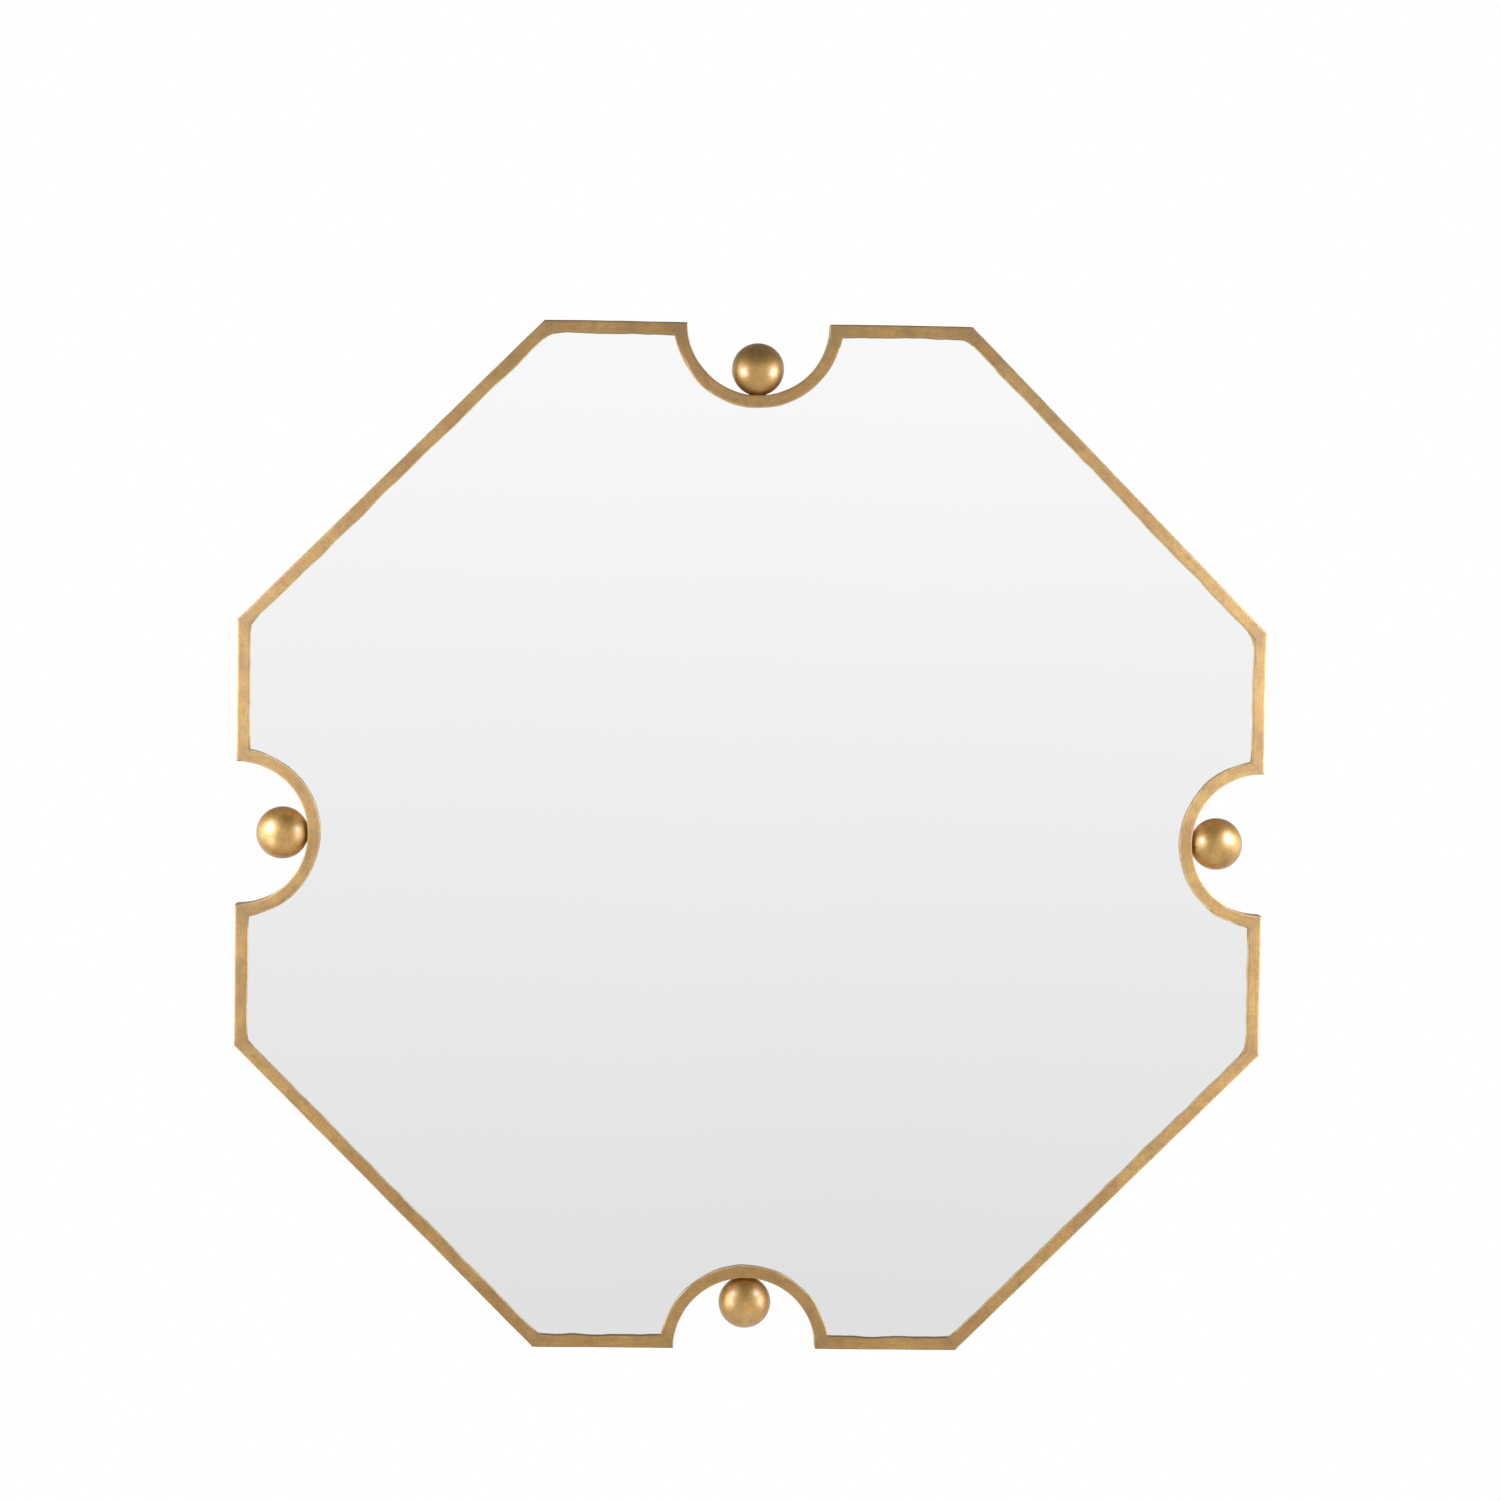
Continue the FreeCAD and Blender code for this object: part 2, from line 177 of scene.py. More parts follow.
def hand_in(piece, node, body="mirror"):
    """Hide the frame's node that the piece stands for, and attach the piece to the body it moves with."""
    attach(piece, body)
    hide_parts(node)


# %% [markdown]
# Materials are node trees. One helper adds a node, sets it and wires it, and one function turns sRGB
# colours, as read off a colour card, into the linear values that the shader works in. Pattern sizes are
# given in millimetres of the real surface, and `per_mm` turns them into a texture's scale.

# %% Small material habits
def srgb(text):
    channels = [int(text[i : i + 2], 16) / 255 for i in (1, 3, 5)]
    return [c / 12.92 if c <= 0.04045 else ((c + 0.055) / 1.055) ** 2.4 for c in channels] + [1]


def per_mm(size):
    return 1 / (size * MM)


def sized(place, size, detail):
    """A pattern's inputs: where it is read, its size in millimetres and its fineness."""
    return {"Vector": place, "Scale": per_mm(size), "Detail": detail}


def wire(tree, made, inputs):
    """Fill a node's inputs, by name or number; each is a value, a node or one of a node's outputs."""
    for name, source in inputs.items():
        named = [s for s in made.inputs if s.enabled and s.name == name]
        socket = named[0] if named else made.inputs[name]
        if isinstance(source, bpy.types.Node):
            source = next(s for s in source.outputs if s.enabled)
        if isinstance(source, bpy.types.NodeSocket):
            tree.links.new(source, socket)
        else:
            socket.default_value = source


def add_node(tree, kind, inputs=None, **settings):
    made = tree.nodes.new("ShaderNode" + kind)
    for name, value in settings.items():
        setattr(made, name, value)
    wire(tree, made, inputs or {})
    return made


def start_material(name):
    material = bpy.data.materials.new(name)
    material.use_nodes = True
    tree = material.node_tree
    place = add_node(tree, "TexCoord").outputs["Object"]
    return material, tree, tree.nodes["Principled BSDF"], place


# %% [markdown]
# ## Gold leaf
#
# The gold is imitation leaf over a red-brown clay ground, toned and sealed with a satin lacquer. The eye
# gets a broad soft gold shine under a fainter white one, slow drifts of colour from leaf to leaf, dull
# patches of tarnish, redder ones where the ground shows through, and a fine grain. It could be a plain metal
# with one noise, but each of those has its own size, so each gets its own pattern. Real leaf has a finer
# grain than a picture of the whole mirror can show, so it is drawn coarser.

# %% The leaf's colour
GOLD_PALE = srgb("#d9a74a")
GOLD_DEEP = srgb("#c79136")
LEAF_TARNISH = srgb("#9a742c")
CLAY_GROUND = srgb("#b07e38")
LEAF_DRIFT = 45
TARNISH_PATCH = 9
CLAY_PATCH = 5
LEAF_GRAIN = 1.6
MIDTONES = (0.35, 0.65)
TARNISH_RANGE, TARNISH_MOST = (0.54, 0.30), 0.42
CLAY_RANGE, CLAY_MOST = (0.5, 0.72), 0.4
SHADE_RANGE, GRAIN_DARKEST = {"From Min": 0.3, "From Max": 0.7}, 0.72
ELSEWHERE = (0.3, 0.7, 0.1)


def lay_over(tree, base, colour, pattern, between=(0.0, 1.0), most=1.0):
    """Lay a colour over another, the more the further a pattern has run through a range."""
    low, high = between
    share = add_node(tree, "MapRange", {"Value": pattern, "From Min": low, "From Max": high, "To Max": most})
    return add_node(tree, "Mix", {"Factor": share, "A": base, "B": colour}, data_type="RGBA")


def shaded(tree, base, pattern, darkest):
    shade = add_node(tree, "MapRange", {"Value": pattern, "To Min": darkest} | SHADE_RANGE)
    inputs = {"Factor": 1.0, "A": base, "B": shade}
    return add_node(tree, "Mix", inputs, data_type="RGBA", blend_type="MULTIPLY")


def leaf_colour(tree, place):
    """Build the leaf's colour, and return it with its patches and its grain."""
    drift = add_node(tree, "TexNoise", sized(place, LEAF_DRIFT, 2.0))
    gold = lay_over(tree, GOLD_DEEP, GOLD_PALE, drift, MIDTONES)
    patch = add_node(tree, "TexNoise", sized(place, TARNISH_PATCH, 5.0))
    gold = lay_over(tree, gold, LEAF_TARNISH, patch, TARNISH_RANGE, TARNISH_MOST)
    moved = add_node(tree, "Mapping", {"Vector": place, "Location": ELSEWHERE})
    bare = add_node(tree, "TexNoise", sized(moved, CLAY_PATCH, 5.0))
    gold = lay_over(tree, gold, CLAY_GROUND, bare, CLAY_RANGE, CLAY_MOST)
    grain = add_node(tree, "TexNoise", sized(place, LEAF_GRAIN, 2.0))
    return shaded(tree, gold, grain, GRAIN_DARKEST), patch, grain


# %% [markdown]
# The bars show more wear than the balls. Fine streaks follow each bar, and dirt has gathered at the welds.
# Along the front edges of the level rails lie dirt and painted shade, and the other edges carry a painted
# highlight in paler gold. The rear was left in its dark primer, and the leaf ends there in a ragged line.
# The streaks read each point's place along its bar. Dirt, painted shade and painted light read one number on
# each
# point: dirt and shade above zero, painted light below it.

# %% Wear, painted shade and painted highlight on the bars, and both kinds of gold
# Pale gold is painted light: a painted highlight on edges, and a paler notch wall under each ball.
PAINTED_LIGHT_GOLD = srgb("#f3dfae")
# The dark edge colour is dirt at the welds and, along the level rails, painted shade.
EDGE_DIRT_AND_SHADE = srgb("#6b5028")
DARK_PRIMER = srgb("#33251b")
STREAK = (22, 1.3, 1.3)
STREAK_DARKEST = 0.8
DIRT_AND_SHADE_RANGE, DIRT_AND_SHADE_MOST = (0.0, 0.6), 0.85
PAINTED_LIGHT_RANGE = (0.0, -1.0)
RAGGED_EDGE = 3 * MM
PRIMER_START, PRIMER_FULL = REAR_Y + 0.3 * MM, REAR_Y + 0.9 * MM
LEAF_RELIEF = 0.12 * MM
LACQUER_IOR = 1.85
TARNISH_DULLS = 0.02


def worn(tree, place, gold, patch, grain):
    """Wear the leaf, paint shade and light on its edges, and return its colour, its relief and where it is
    metal.
    """
    along = add_node(tree, "Attribute", attribute_name="bar_place").outputs["Vector"]
    along = add_node(tree, "Mapping", {"Vector": along, "Scale": [per_mm(size) for size in STREAK]})
    streak = add_node(tree, "TexNoise", {"Vector": along, "Scale": 1.0, "Detail": 3.0})
    gold = shaded(tree, gold, streak, STREAK_DARKEST)
    relief = add_node(tree, "Math", {0: grain, 1: streak}, operation="ADD")
    # One number per point: above zero, dirt at the welds and dirt with painted shade on level edges; below
    # zero, painted light.
    dirt_and_painted_light = add_node(tree, "Attribute", attribute_name="dirt_and_painted_light").outputs["Fac"]
    dirt_and_shade = add_node(tree, "Math", {0: dirt_and_painted_light, 1: patch}, operation="MULTIPLY")
    gold = lay_over(tree, gold, EDGE_DIRT_AND_SHADE, dirt_and_shade, DIRT_AND_SHADE_RANGE, DIRT_AND_SHADE_MOST)
    gold = lay_over(tree, gold, PAINTED_LIGHT_GOLD, dirt_and_painted_light, PAINTED_LIGHT_RANGE)
    depth = add_node(tree, "SeparateXYZ", {"Vector": place}).outputs["Y"]
    ragged = add_node(tree, "Math", {0: patch, 1: RAGGED_EDGE, 2: depth}, operation="MULTIPLY_ADD")
    inputs = {"Value": ragged, "From Min": PRIMER_FULL, "From Max": PRIMER_START}
    metal = add_node(tree, "MapRange", inputs)
    gold = add_node(tree, "Mix", {"Factor": metal, "A": DARK_PRIMER, "B": gold}, data_type="RGBA")
    return gold, relief, metal


def gold_leaf(name, roughness, lacquer_roughness, on_bar):
    material, tree, shader, place = start_material(name)
    gold, patch, grain = leaf_colour(tree, place)
    relief, metal = grain, 1.0
    if on_bar:
        gold, relief, metal = worn(tree, place, gold, patch, grain)
    inputs = {"Value": patch, "From Min": 0.65, "From Max": 0.3}
    dull = add_node(tree, "MapRange", inputs | {"To Min": roughness, "To Max": roughness + TARNISH_DULLS})
    bump = add_node(tree, "Bump", {"Strength": 0.35, "Distance": LEAF_RELIEF, "Height": relief})
    wire(tree, shader, {"Base Color": gold, "Metallic": metal, "Roughness": dull, "Normal": bump})
    wire(tree, shader, {"Coat Weight": 1.0, "Coat Roughness": lacquer_roughness, "Coat IOR": LACQUER_IOR})
    return material


leafed_bar = gold_leaf("gold_leaf_on_tube", roughness=0.64, lacquer_roughness=0.66, on_bar=True)
leafed_ball = gold_leaf("gold_leaf_on_ball", roughness=0.54, lacquer_roughness=0.37, on_bar=False)
print(f"gold leaf: {len(leafed_bar.node_tree.nodes)} nodes on a bar")

# %% [markdown]
# ## The tube's section
#
# Every bar is the same rolled steel tube, so all start from one section: an oblong with softly rounded
# corners, which is a plane with its corners bevelled. Its flat sides are divided so that the finished bar
# has enough points to show the slight waviness of a hand-dressed frame.

# %% Draw the section of the tube
EDGE_RADIUS = 1.0 * MM
FLAT_CUTS = 5


def tube_section(name, x, z, turn):
    nothing_selected()
    bpy.ops.mesh.primitive_plane_add(size=1, location=(x, MIDDLE_Y, z), rotation=(0, turn, 0))
    section = new_piece(name, scale=(BAR_WIDTH, BAR_DEPTH, 1))
    shape(section)
    bpy.ops.mesh.bevel(offset=EDGE_RADIUS, segments=3, affect="VERTICES")
    pick(section, "EDGE", lambda edge: edge.calc_length() > 2 * EDGE_RADIUS)
    bpy.ops.mesh.subdivide(number_cuts=FLAT_CUTS)
    bpy.ops.mesh.select_all(action="SELECT")
    return section


# %% [markdown]
# ## Rails and notch arcs
#
# A rail is the section drawn out along its side and sawn off at a mitre. An arc is the section swung half a
# turn round the middle of the notch. Extrude and spin do what the tube mill and the bending roller do. The
# mitres are cut with bisect, which also caps the ends, so each bar is a closed shape.

# %% Draw out, bend and saw the bars
POINT_SPACING = 4 * MM
ARC_STEPS = 72
SAW_TOLERANCE = 0.001 * MM


def straight_bar(name, start, end):
    bar = tube_section(name, start, HALF - BAR_WIDTH / 2, math.pi / 2)
    draw_out(end - start, 0, 0)
    pick(bar, "EDGE", lambda edge: edge.calc_length() > BAR_WIDTH)
    bpy.ops.mesh.subdivide(number_cuts=round((end - start) / POINT_SPACING))
    return bar


def bent_bar(name):
    bar = tube_section(name, NOTCH_RADIUS + BAR_WIDTH / 2, HALF, 0)
    bpy.ops.mesh.spin(steps=ARC_STEPS, angle=-math.pi, center=(0, MIDDLE_Y, HALF), axis=(0, 1, 0))
    return bar


def saw(bar, mitre, keep_beyond):
    """Cut a bar along a mitre, which is a point and a direction."""
    point, normal = mitre
    kept = {"clear_inner": keep_beyond, "clear_outer": not keep_beyond}
    shape(bar)
    bpy.ops.mesh.bisect(plane_co=point, plane_no=normal, use_fill=True, threshold=SAW_TOLERANCE, **kept)
    close_up(bar)


# %% [markdown]
# Each bar's points carry notes for later: where they lie along the bar, for the streaks, how much dirt they
# gather, which falls off away from the welds, and how far their glass side may wander from true. The
# mitred ends may not wander, or the joints would open.

# %% Note each point's place, dirt and freedom
WELD_DIRT = 0.4
WELD_REACH = 9 * MM
WANDER_EASE = 15 * MM


def on_straight(co):
    return co.x, HALF - co.z


def on_bend(co):
    turn = math.atan2(co.z - HALF, co.x)
    return turn * NOTCH_RADIUS, math.hypot(co.x, co.z - HALF) - NOTCH_RADIUS


def mark(bar, along_and_inset, mitres):
    bar.data.attributes.new("bar_place", "FLOAT_VECTOR", "POINT")
    bar.data.attributes.new("dirt_and_painted_light", "FLOAT", "POINT")
    place, dirt_and_painted_light = (bar.data.attributes[name] for name in ("bar_place", "dirt_and_painted_light"))
    freedom = {}
    for index, vertex in enumerate(bar.data.vertices):
        along, inset = along_and_inset(vertex.co)
        place.data[index].vector = (along, vertex.co.y, inset)
        to_weld = min(abs((vertex.co - point).dot(normal)) for point, normal in mitres)
        dirt_and_painted_light.data[index].value = WELD_DIRT * math.exp(-to_weld / WELD_REACH)
        if inset > BAR_WIDTH - EDGE_RADIUS:
            freedom[index] = min(to_weld / WANDER_EASE, 1)
    glass_side = bar.vertex_groups.new(name="glass_side")
    for index, share in freedom.items():
        glass_side.add([index], share, "REPLACE")


# %% [markdown]
# Four pattern bars are enough: a diagonal rail, the two halves of a notched side, and an arc. Each is drawn
# a little too long and sawn to its mitres. The arc's wall under the ball is painted in paler gold, so that
# it throws more warm light back on to the ball.

# %% Model one rail of each kind, and one arc
SPARE = 6 * MM
WALL_SKIN = 0.05 * MM
HALF_CORNER = SIDE_TURN / 2
side_end = HALF * math.tan(HALF_CORNER)
notch_meet = math.sqrt((NOTCH_RADIUS + BAR_WIDTH) ** 2 - BAR_WIDTH**2)
notch_slope = Vector((BAR_WIDTH, 0, notch_meet - NOTCH_RADIUS)).normalized()
right_corner = (Vector((0, 0, 0)), Vector((math.cos(HALF_CORNER), 0, -math.sin(HALF_CORNER))))
right_notch = (Vector((NOTCH_RADIUS, 0, HALF)), notch_slope)
left_corner = [Vector((-v.x, v.y, v.z)) for v in right_corner]
left_notch = [Vector((-v.x, v.y, v.z)) for v in right_notch]


def fitted(bar, along_and_inset, first, second, past_second=False):
    """Saw a bar at its two mitres and mark it; what is kept may lie past the second one."""
    saw(bar, first, False)
    saw(bar, second, past_second)
    mark(bar, along_and_inset, (first, second))
    return bar


long_rail = straight_bar("long_rail", -side_end - SPARE, side_end + SPARE)
fitted(long_rail, on_straight, right_corner, left_corner)
right_half = straight_bar("right_half", NOTCH_RADIUS - SPARE, side_end + SPARE)
fitted(right_half, on_straight, right_corner, right_notch, past_second=True)
left_half = straight_bar("left_half", -side_end - SPARE, -NOTCH_RADIUS + SPARE)
fitted(left_half, on_straight, left_corner, left_notch, past_second=True)
arc = fitted(bent_bar("arc"), on_bend, right_notch, left_notch)
# The notch wall under each ball is painted in pale gold, so it throws more light on to the ball's contact.
for index, vertex in enumerate(arc.data.vertices):
    if on_bend(vertex.co)[1] < WALL_SKIN and abs(vertex.co.x) < BALL_RADIUS:
        arc.data.attributes["dirt_and_painted_light"].data[index].value = -1
print("points:", [len(bar.data.vertices) for bar in (long_rail, right_half, left_half, arc)])

# %% [markdown]
# A welded and filed frame is never quite true, so a soft cloud texture moves every bar's points by a few
# tenths of a millimetre, and a second one lets the edge beside the glass wander by up to about two, as
# filler and leaf laid by hand do. The clouds are read in the mirror's own space, so neighbouring bars move
# together and the joints stay shut. Front edges are marked last: dirt and painted shade on the level rails,
# a painted highlight in paler gold on the others.

# %% Wave, wander, and paint shade and highlight on the edges
WAVINESS, WAVE_SIZE = 0.6 * MM, 45 * MM
WANDER, WANDER_SIZE = 3.0 * MM, 30 * MM
WANDER_MIDDLE = 0.7
FREE = 0.5
EDGE_TILT, WALL_TILT = 0.97, 0.8
LEDGE_DIRT_AND_SHADE, SEAM_DIRT = 1.0, 0.32
EDGE_HIGHLIGHT, GLASS_SIDE_HIGHLIGHT = 0.3, 0.95
waves = bpy.data.textures.new("hand_dressed", "CLOUDS")
waves.cloud_type = "COLOR"
waves.noise_scale = WAVE_SIZE
wander = bpy.data.textures.new("leaf_edge", "CLOUDS")
wander.noise_scale = WANDER_SIZE


def dress(piece, material, strength):
    moved_by = {"texture": waves, "texture_coords": "GLOBAL", "direction": "RGB_TO_XYZ"}
    add_modifier(piece, "DISPLACE", strength=strength, **moved_by)
    smooth(piece, material)


def paint_edge_shade_and_highlight(bar, level):
    """Lay dirt and painted shade along the front edges of a level bar, and a painted highlight in paler gold
    along those of the others.
    """
    dirt_and_painted_light = bar.data.attributes["dirt_and_painted_light"].data
    glass_side = bar.vertex_groups["glass_side"].index
    for index, vertex in enumerate(bar.data.vertices):
        tilt = abs(vertex.normal.y)
        if vertex.co.y > FRONT_Y + EDGE_RADIUS or tilt > EDGE_TILT or dirt_and_painted_light[index].value > SEAM_DIRT:
            continue
        by_glass = any(entry.group == glass_side and entry.weight > FREE for entry in vertex.groups)
        # The pale gold set here is a painted highlight, stronger beside the glass.
        highlight_share = GLASS_SIDE_HIGHLIGHT if by_glass and tilt < WALL_TILT else EDGE_HIGHLIGHT
        # Front edges of level rails get dirt and painted shade; the others get the painted highlight.
        dirt_and_painted_light[index].value = LEDGE_DIRT_AND_SHADE if level else -highlight_share


# %% [markdown]
# A straight bar wanders along its own Z, which is read before its turn is settled, because moving points
# along their normals would also tilt its rounded edge. An arc has no single direction, so it does use the
# normals. The streaks of each side start at another place, so that no two bars look alike.

# %% Set the bars round the frame
HALF_NAMES = {
    "top": ("left", "right"),
    "right": ("upper", "lower"),
    "bottom": ("right", "left"),
    "left": ("lower", "upper"),
}


def set_in_frame(pattern, node, side):
    bar = copy_of(pattern, node + "_gilt")
    bar.rotation_euler = (0, TURN[side], 0)
    moved_by = {"texture": wander, "texture_coords": "GLOBAL", "vertex_group": "glass_side"}
    if pattern == arc:
        moved_by |= {"direction": "NORMAL", "strength": WANDER}
    else:
        moved_by |= {"direction": "Z", "space": "LOCAL", "strength": -WANDER}
    add_modifier(bar, "DISPLACE", mid_level=WANDER_MIDDLE, **moved_by)
    settle(bar)
    paint_edge_shade_and_highlight(bar, level=side in ("top", "bottom") and pattern != arc)
    dress(bar, leafed_bar, WAVINESS)
    for entry in bar.data.attributes["bar_place"].data:
        entry.vector.x += SIDES.index(side)
    hand_in(bar, node)


for side in SIDES:
    if side in HALF_NAMES:
        set_in_frame(left_half, f"{side}_rail_{HALF_NAMES[side][0]}", side)
        set_in_frame(right_half, f"{side}_rail_{HALF_NAMES[side][1]}", side)
        set_in_frame(arc, f"{side}_notch_arc", side)
    else:
        set_in_frame(long_rail, f"{side}_rail", side)
for pattern in (long_rail, right_half, left_half, arc):
    bpy.data.objects.remove(pattern)

# %% [markdown]
# ## Balls
#
# Each ball is a hollow steel ball brazed to the lowest point of its notch. It starts as a sphere. The faces
# at its seat are drawn out into a broad low collar, the braze that ties it to the arc, and the whole ball
# gets a touch of the bars' unevenness, less than they do because balls are turned.

# %% Model one ball and set four
NECK_ANGLE = math.radians(20)
NECK_LENGTH = 1.6 * MM
NECK_FLARE = (1.25, 1.25, 0.2)
nothing_selected()
bpy.ops.mesh.primitive_uv_sphere_add(segments=96, ring_count=48, radius=BALL_RADIUS, location=BALL_CENTRE)
ball = new_piece("ball")
shape(ball)
seat_z = BALL_CENTRE.z - BALL_RADIUS * math.cos(NECK_ANGLE)
pick(ball, "FACE", lambda face: face.calc_center_median().z < seat_z)
draw_out(0, 0, -NECK_LENGTH)
bpy.ops.transform.resize(value=NECK_FLARE, center_override=(0, BALL_CENTRE.y, seat_z - NECK_LENGTH))
bpy.ops.object.mode_set(mode="OBJECT")
gilt_balls = {}
for side in HALF_NAMES:
    gilt_balls[side] = turned_to(copy_of(ball, f"{side}_ball_gilt"), side)
    dress(gilt_balls[side], leafed_ball, WAVINESS / 2)
    hand_in(gilt_balls[side], f"{side}_ball")
bpy.data.objects.remove(ball)
print("balls:", len(gilt_balls))

# %% [markdown]
# ## Weld fillets
#
# Where two rails meet on the glass side, the weld was left as a small rounded fillet, and the leaf bridges
# it. Bevelling the rails would round both sides of the joint, so the fillet is a small block of its own: a
# box set in the corner with a round bar cut out of it. The fillets differ, as hand welds do. Boxes, round
# bars, cuts and joins come up again behind the glass, so they are helpers.

# %% Boxes, round bars, cuts and joins
ALONG_X = (0, math.pi / 2, 0)
ALONG_Y = (math.pi / 2, 0, 0)


def add_box(name, place, size):
    nothing_selected()
    bpy.ops.mesh.primitive_cube_add(size=1, location=place)
    return new_piece(name, scale=size)


def add_round(name, vertices, radius, depth, place, turn=ALONG_Y):
    nothing_selected()
    size = {"vertices": vertices, "radius": radius, "depth": depth}
    bpy.ops.mesh.primitive_cylinder_add(location=place, rotation=turn, **size)
    return new_piece(name)


def cut_away(piece, cutter):
    """Take the cutter's shape out of the piece, then throw the cutter away."""
    add_modifier(piece, "BOOLEAN", object=cutter, operation="DIFFERENCE", solver="EXACT")
    bpy.data.objects.remove(cutter)


def joined(pieces, name):
    only(pieces[0])
    for piece in pieces:
        piece.select_set(True)
    bpy.ops.object.join()
    pieces[0].name = pieces[0].data.name = name
    return pieces[0]


# %% Model the weld fillets
FILLET_RADII = {"top": 18, "upper_right": 15, "right": 15, "lower_right": 7, "bottom": 7, "lower_left": 7}
FILLET_RADII |= {"left": 5, "upper_left": 18}
FILLET_SET_BACK = 0.3 * MM
FILLET_SINK = 0.5 * MM
glass_low, glass_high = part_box("mirror_glass")
fillet_front = FRONT_Y + FILLET_SET_BACK
fillet_depth = glass_low.y - fillet_front
inner_corner = (HALF - BAR_WIDTH) / math.cos(HALF_CORNER)
fillets = []
for side, radius_mm in FILLET_RADII.items():
    radius = radius_mm * MM
    middle_z = inner_corner - radius / math.cos(HALF_CORNER)
    half_width = radius * math.sin(HALF_CORNER)
    low_z = middle_z + radius * math.cos(HALF_CORNER)
    high_z = inner_corner + FILLET_SINK
    block_middle = (0, fillet_front + fillet_depth / 2, (low_z + high_z) / 2)
    fillet = add_box("fillet", block_middle, (2 * half_width, fillet_depth, high_z - low_z))
    cut_away(fillet, add_round("round_bar", 160, radius, 2 * BAR_DEPTH, (0, MIDDLE_Y, middle_z)))
    fillet.rotation_euler = (0, TURN[side] + HALF_CORNER, 0)
    fillets.append(settle(fillet))
welds = joined(fillets, "corner_welds")
smooth(welds, leafed_ball)
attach(welds, "mirror")
print("weld fillets:", len(FILLET_RADII))

# %% [markdown]
# ## The mirror glass
#
# The glass is a float-glass sheet cut to the inside of the frame, notches included, with its sharp edges
# taken off and its back silvered and painted. An eight-sided cylinder is the octagon, four round cutters
# take out the notches, and a bevel gives the arris. The same three steps make the backing panel later, so
# they are one function. The real gap is filled, so the sheet is drawn larger and runs under the rails' edge.

# %% Cut sheets to the frame's outline
NOTCH_POINTS = 144
FLAT = 0.99
SHARP = math.radians(50)
FILLED_GAP = 3.0 * MM
GLASS_ARRIS = 0.1 * MM


def soften(piece, width, segments=2):
    """Round the sharp edges of a piece."""
    sharp_only = {"limit_method": "ANGLE", "angle_limit": SHARP}
    add_modifier(piece, "BEVEL", width=width, segments=segments, **sharp_only)


def cut_sheet(name, node, inset, arris):
    low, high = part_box(node)
    thickness = high.y - low.y
    middle_y = (low.y + high.y) / 2
    corner_radius = (HALF - inset) / math.cos(HALF_CORNER)
    flat_side_up = (math.pi / 2, HALF_CORNER, 0)
    sheet = add_round(name, len(SIDES), corner_radius, thickness, (0, middle_y, 0), flat_side_up)
    for side in HALF_NAMES:
        notch = (NOTCH_POINTS, NOTCH_RADIUS + inset, 4 * thickness, (0, middle_y, HALF))
        cut_away(sheet, turned_to(add_round("notch_cutter", *notch), side))
    soften(sheet, arris)
    close_up(sheet)
    smooth(sheet)
    for face in sheet.data.polygons:
        face.use_smooth = abs(face.normal.y) < FLAT
    return sheet


glass = cut_sheet("silvered_glass", "mirror_glass", HALF - glass_high.z - FILLED_GAP, GLASS_ARRIS)
print("glass points:", len(glass.data.vertices))

# %% [markdown]
# Seen from the front the sheet is a mirror: silver under clear glass, so almost a perfect reflection with
# the faintest drift in tone. Its ground edge is dull and green, the colour of float glass seen through its
# thickness, and its back is grey mirror paint. Each face is given one of these by the way it points. Plain
# finishes share one recipe: two tones in one pattern, which also sets their dullness and their relief.

# %% Silver, ground glass and mirror paint
SILVER_DRIFT = 400
EDGE_GRIT = 1.5
PAINT_ROLLER = 2.5


def mottled(name, size, tones, dullness, strength, relief=0.1, detail=3.0, kind="TexNoise"):
    material, tree, shader, place = start_material(name)
    pattern = add_node(tree, kind, sized(place, size, detail))
    tone = lay_over(tree, srgb(tones[0]), srgb(tones[1]), pattern)
    dull = add_node(tree, "MapRange", {"Value": pattern, "To Min": dullness[0], "To Max": dullness[1]})
    bump = add_node(tree, "Bump", {"Strength": strength, "Distance": relief * MM, "Height": pattern})
    wire(tree, shader, {"Base Color": tone, "Roughness": dull, "Normal": bump})
    return material


silver, tree, shader, place = start_material("silvered_float_glass")
drift = add_node(tree, "TexNoise", sized(place, SILVER_DRIFT, 1.0))
tone = lay_over(tree, srgb("#f9f9f9"), srgb("#fbfbfb"), drift)
wire(tree, shader, {"Base Color": tone, "Metallic": 1.0, "Roughness": 0.0})
ground_edge = mottled("ground_float_glass_edge", EDGE_GRIT, ("#6f9a86", "#a9c9b8"), (0.45, 0.45), 0.3)
mirror_paint = mottled("mirror_back_paint", PAINT_ROLLER, ("#6d7175", "#7b8084"), (0.55, 0.55), 0.3)
for material in (silver, ground_edge, mirror_paint):
    glass.data.materials.append(material)
for face in glass.data.polygons:
    face.material_index = 0 if face.normal.y < -FLAT else 2 if face.normal.y > FLAT else 1
hand_in(glass, "mirror_glass")
print("glass faces:", len(glass.data.polygons))

# %% [markdown]
# ## The backing panel
#
# The panel behind the glass is raw medium-density fibreboard. Its face is a pale brown felt of short fibres
# with darker specks. Real fibres are finer than a picture of the whole back can show, so they are drawn
# coarser. The panel is cut by the same steps as the glass, with a rounder edge.

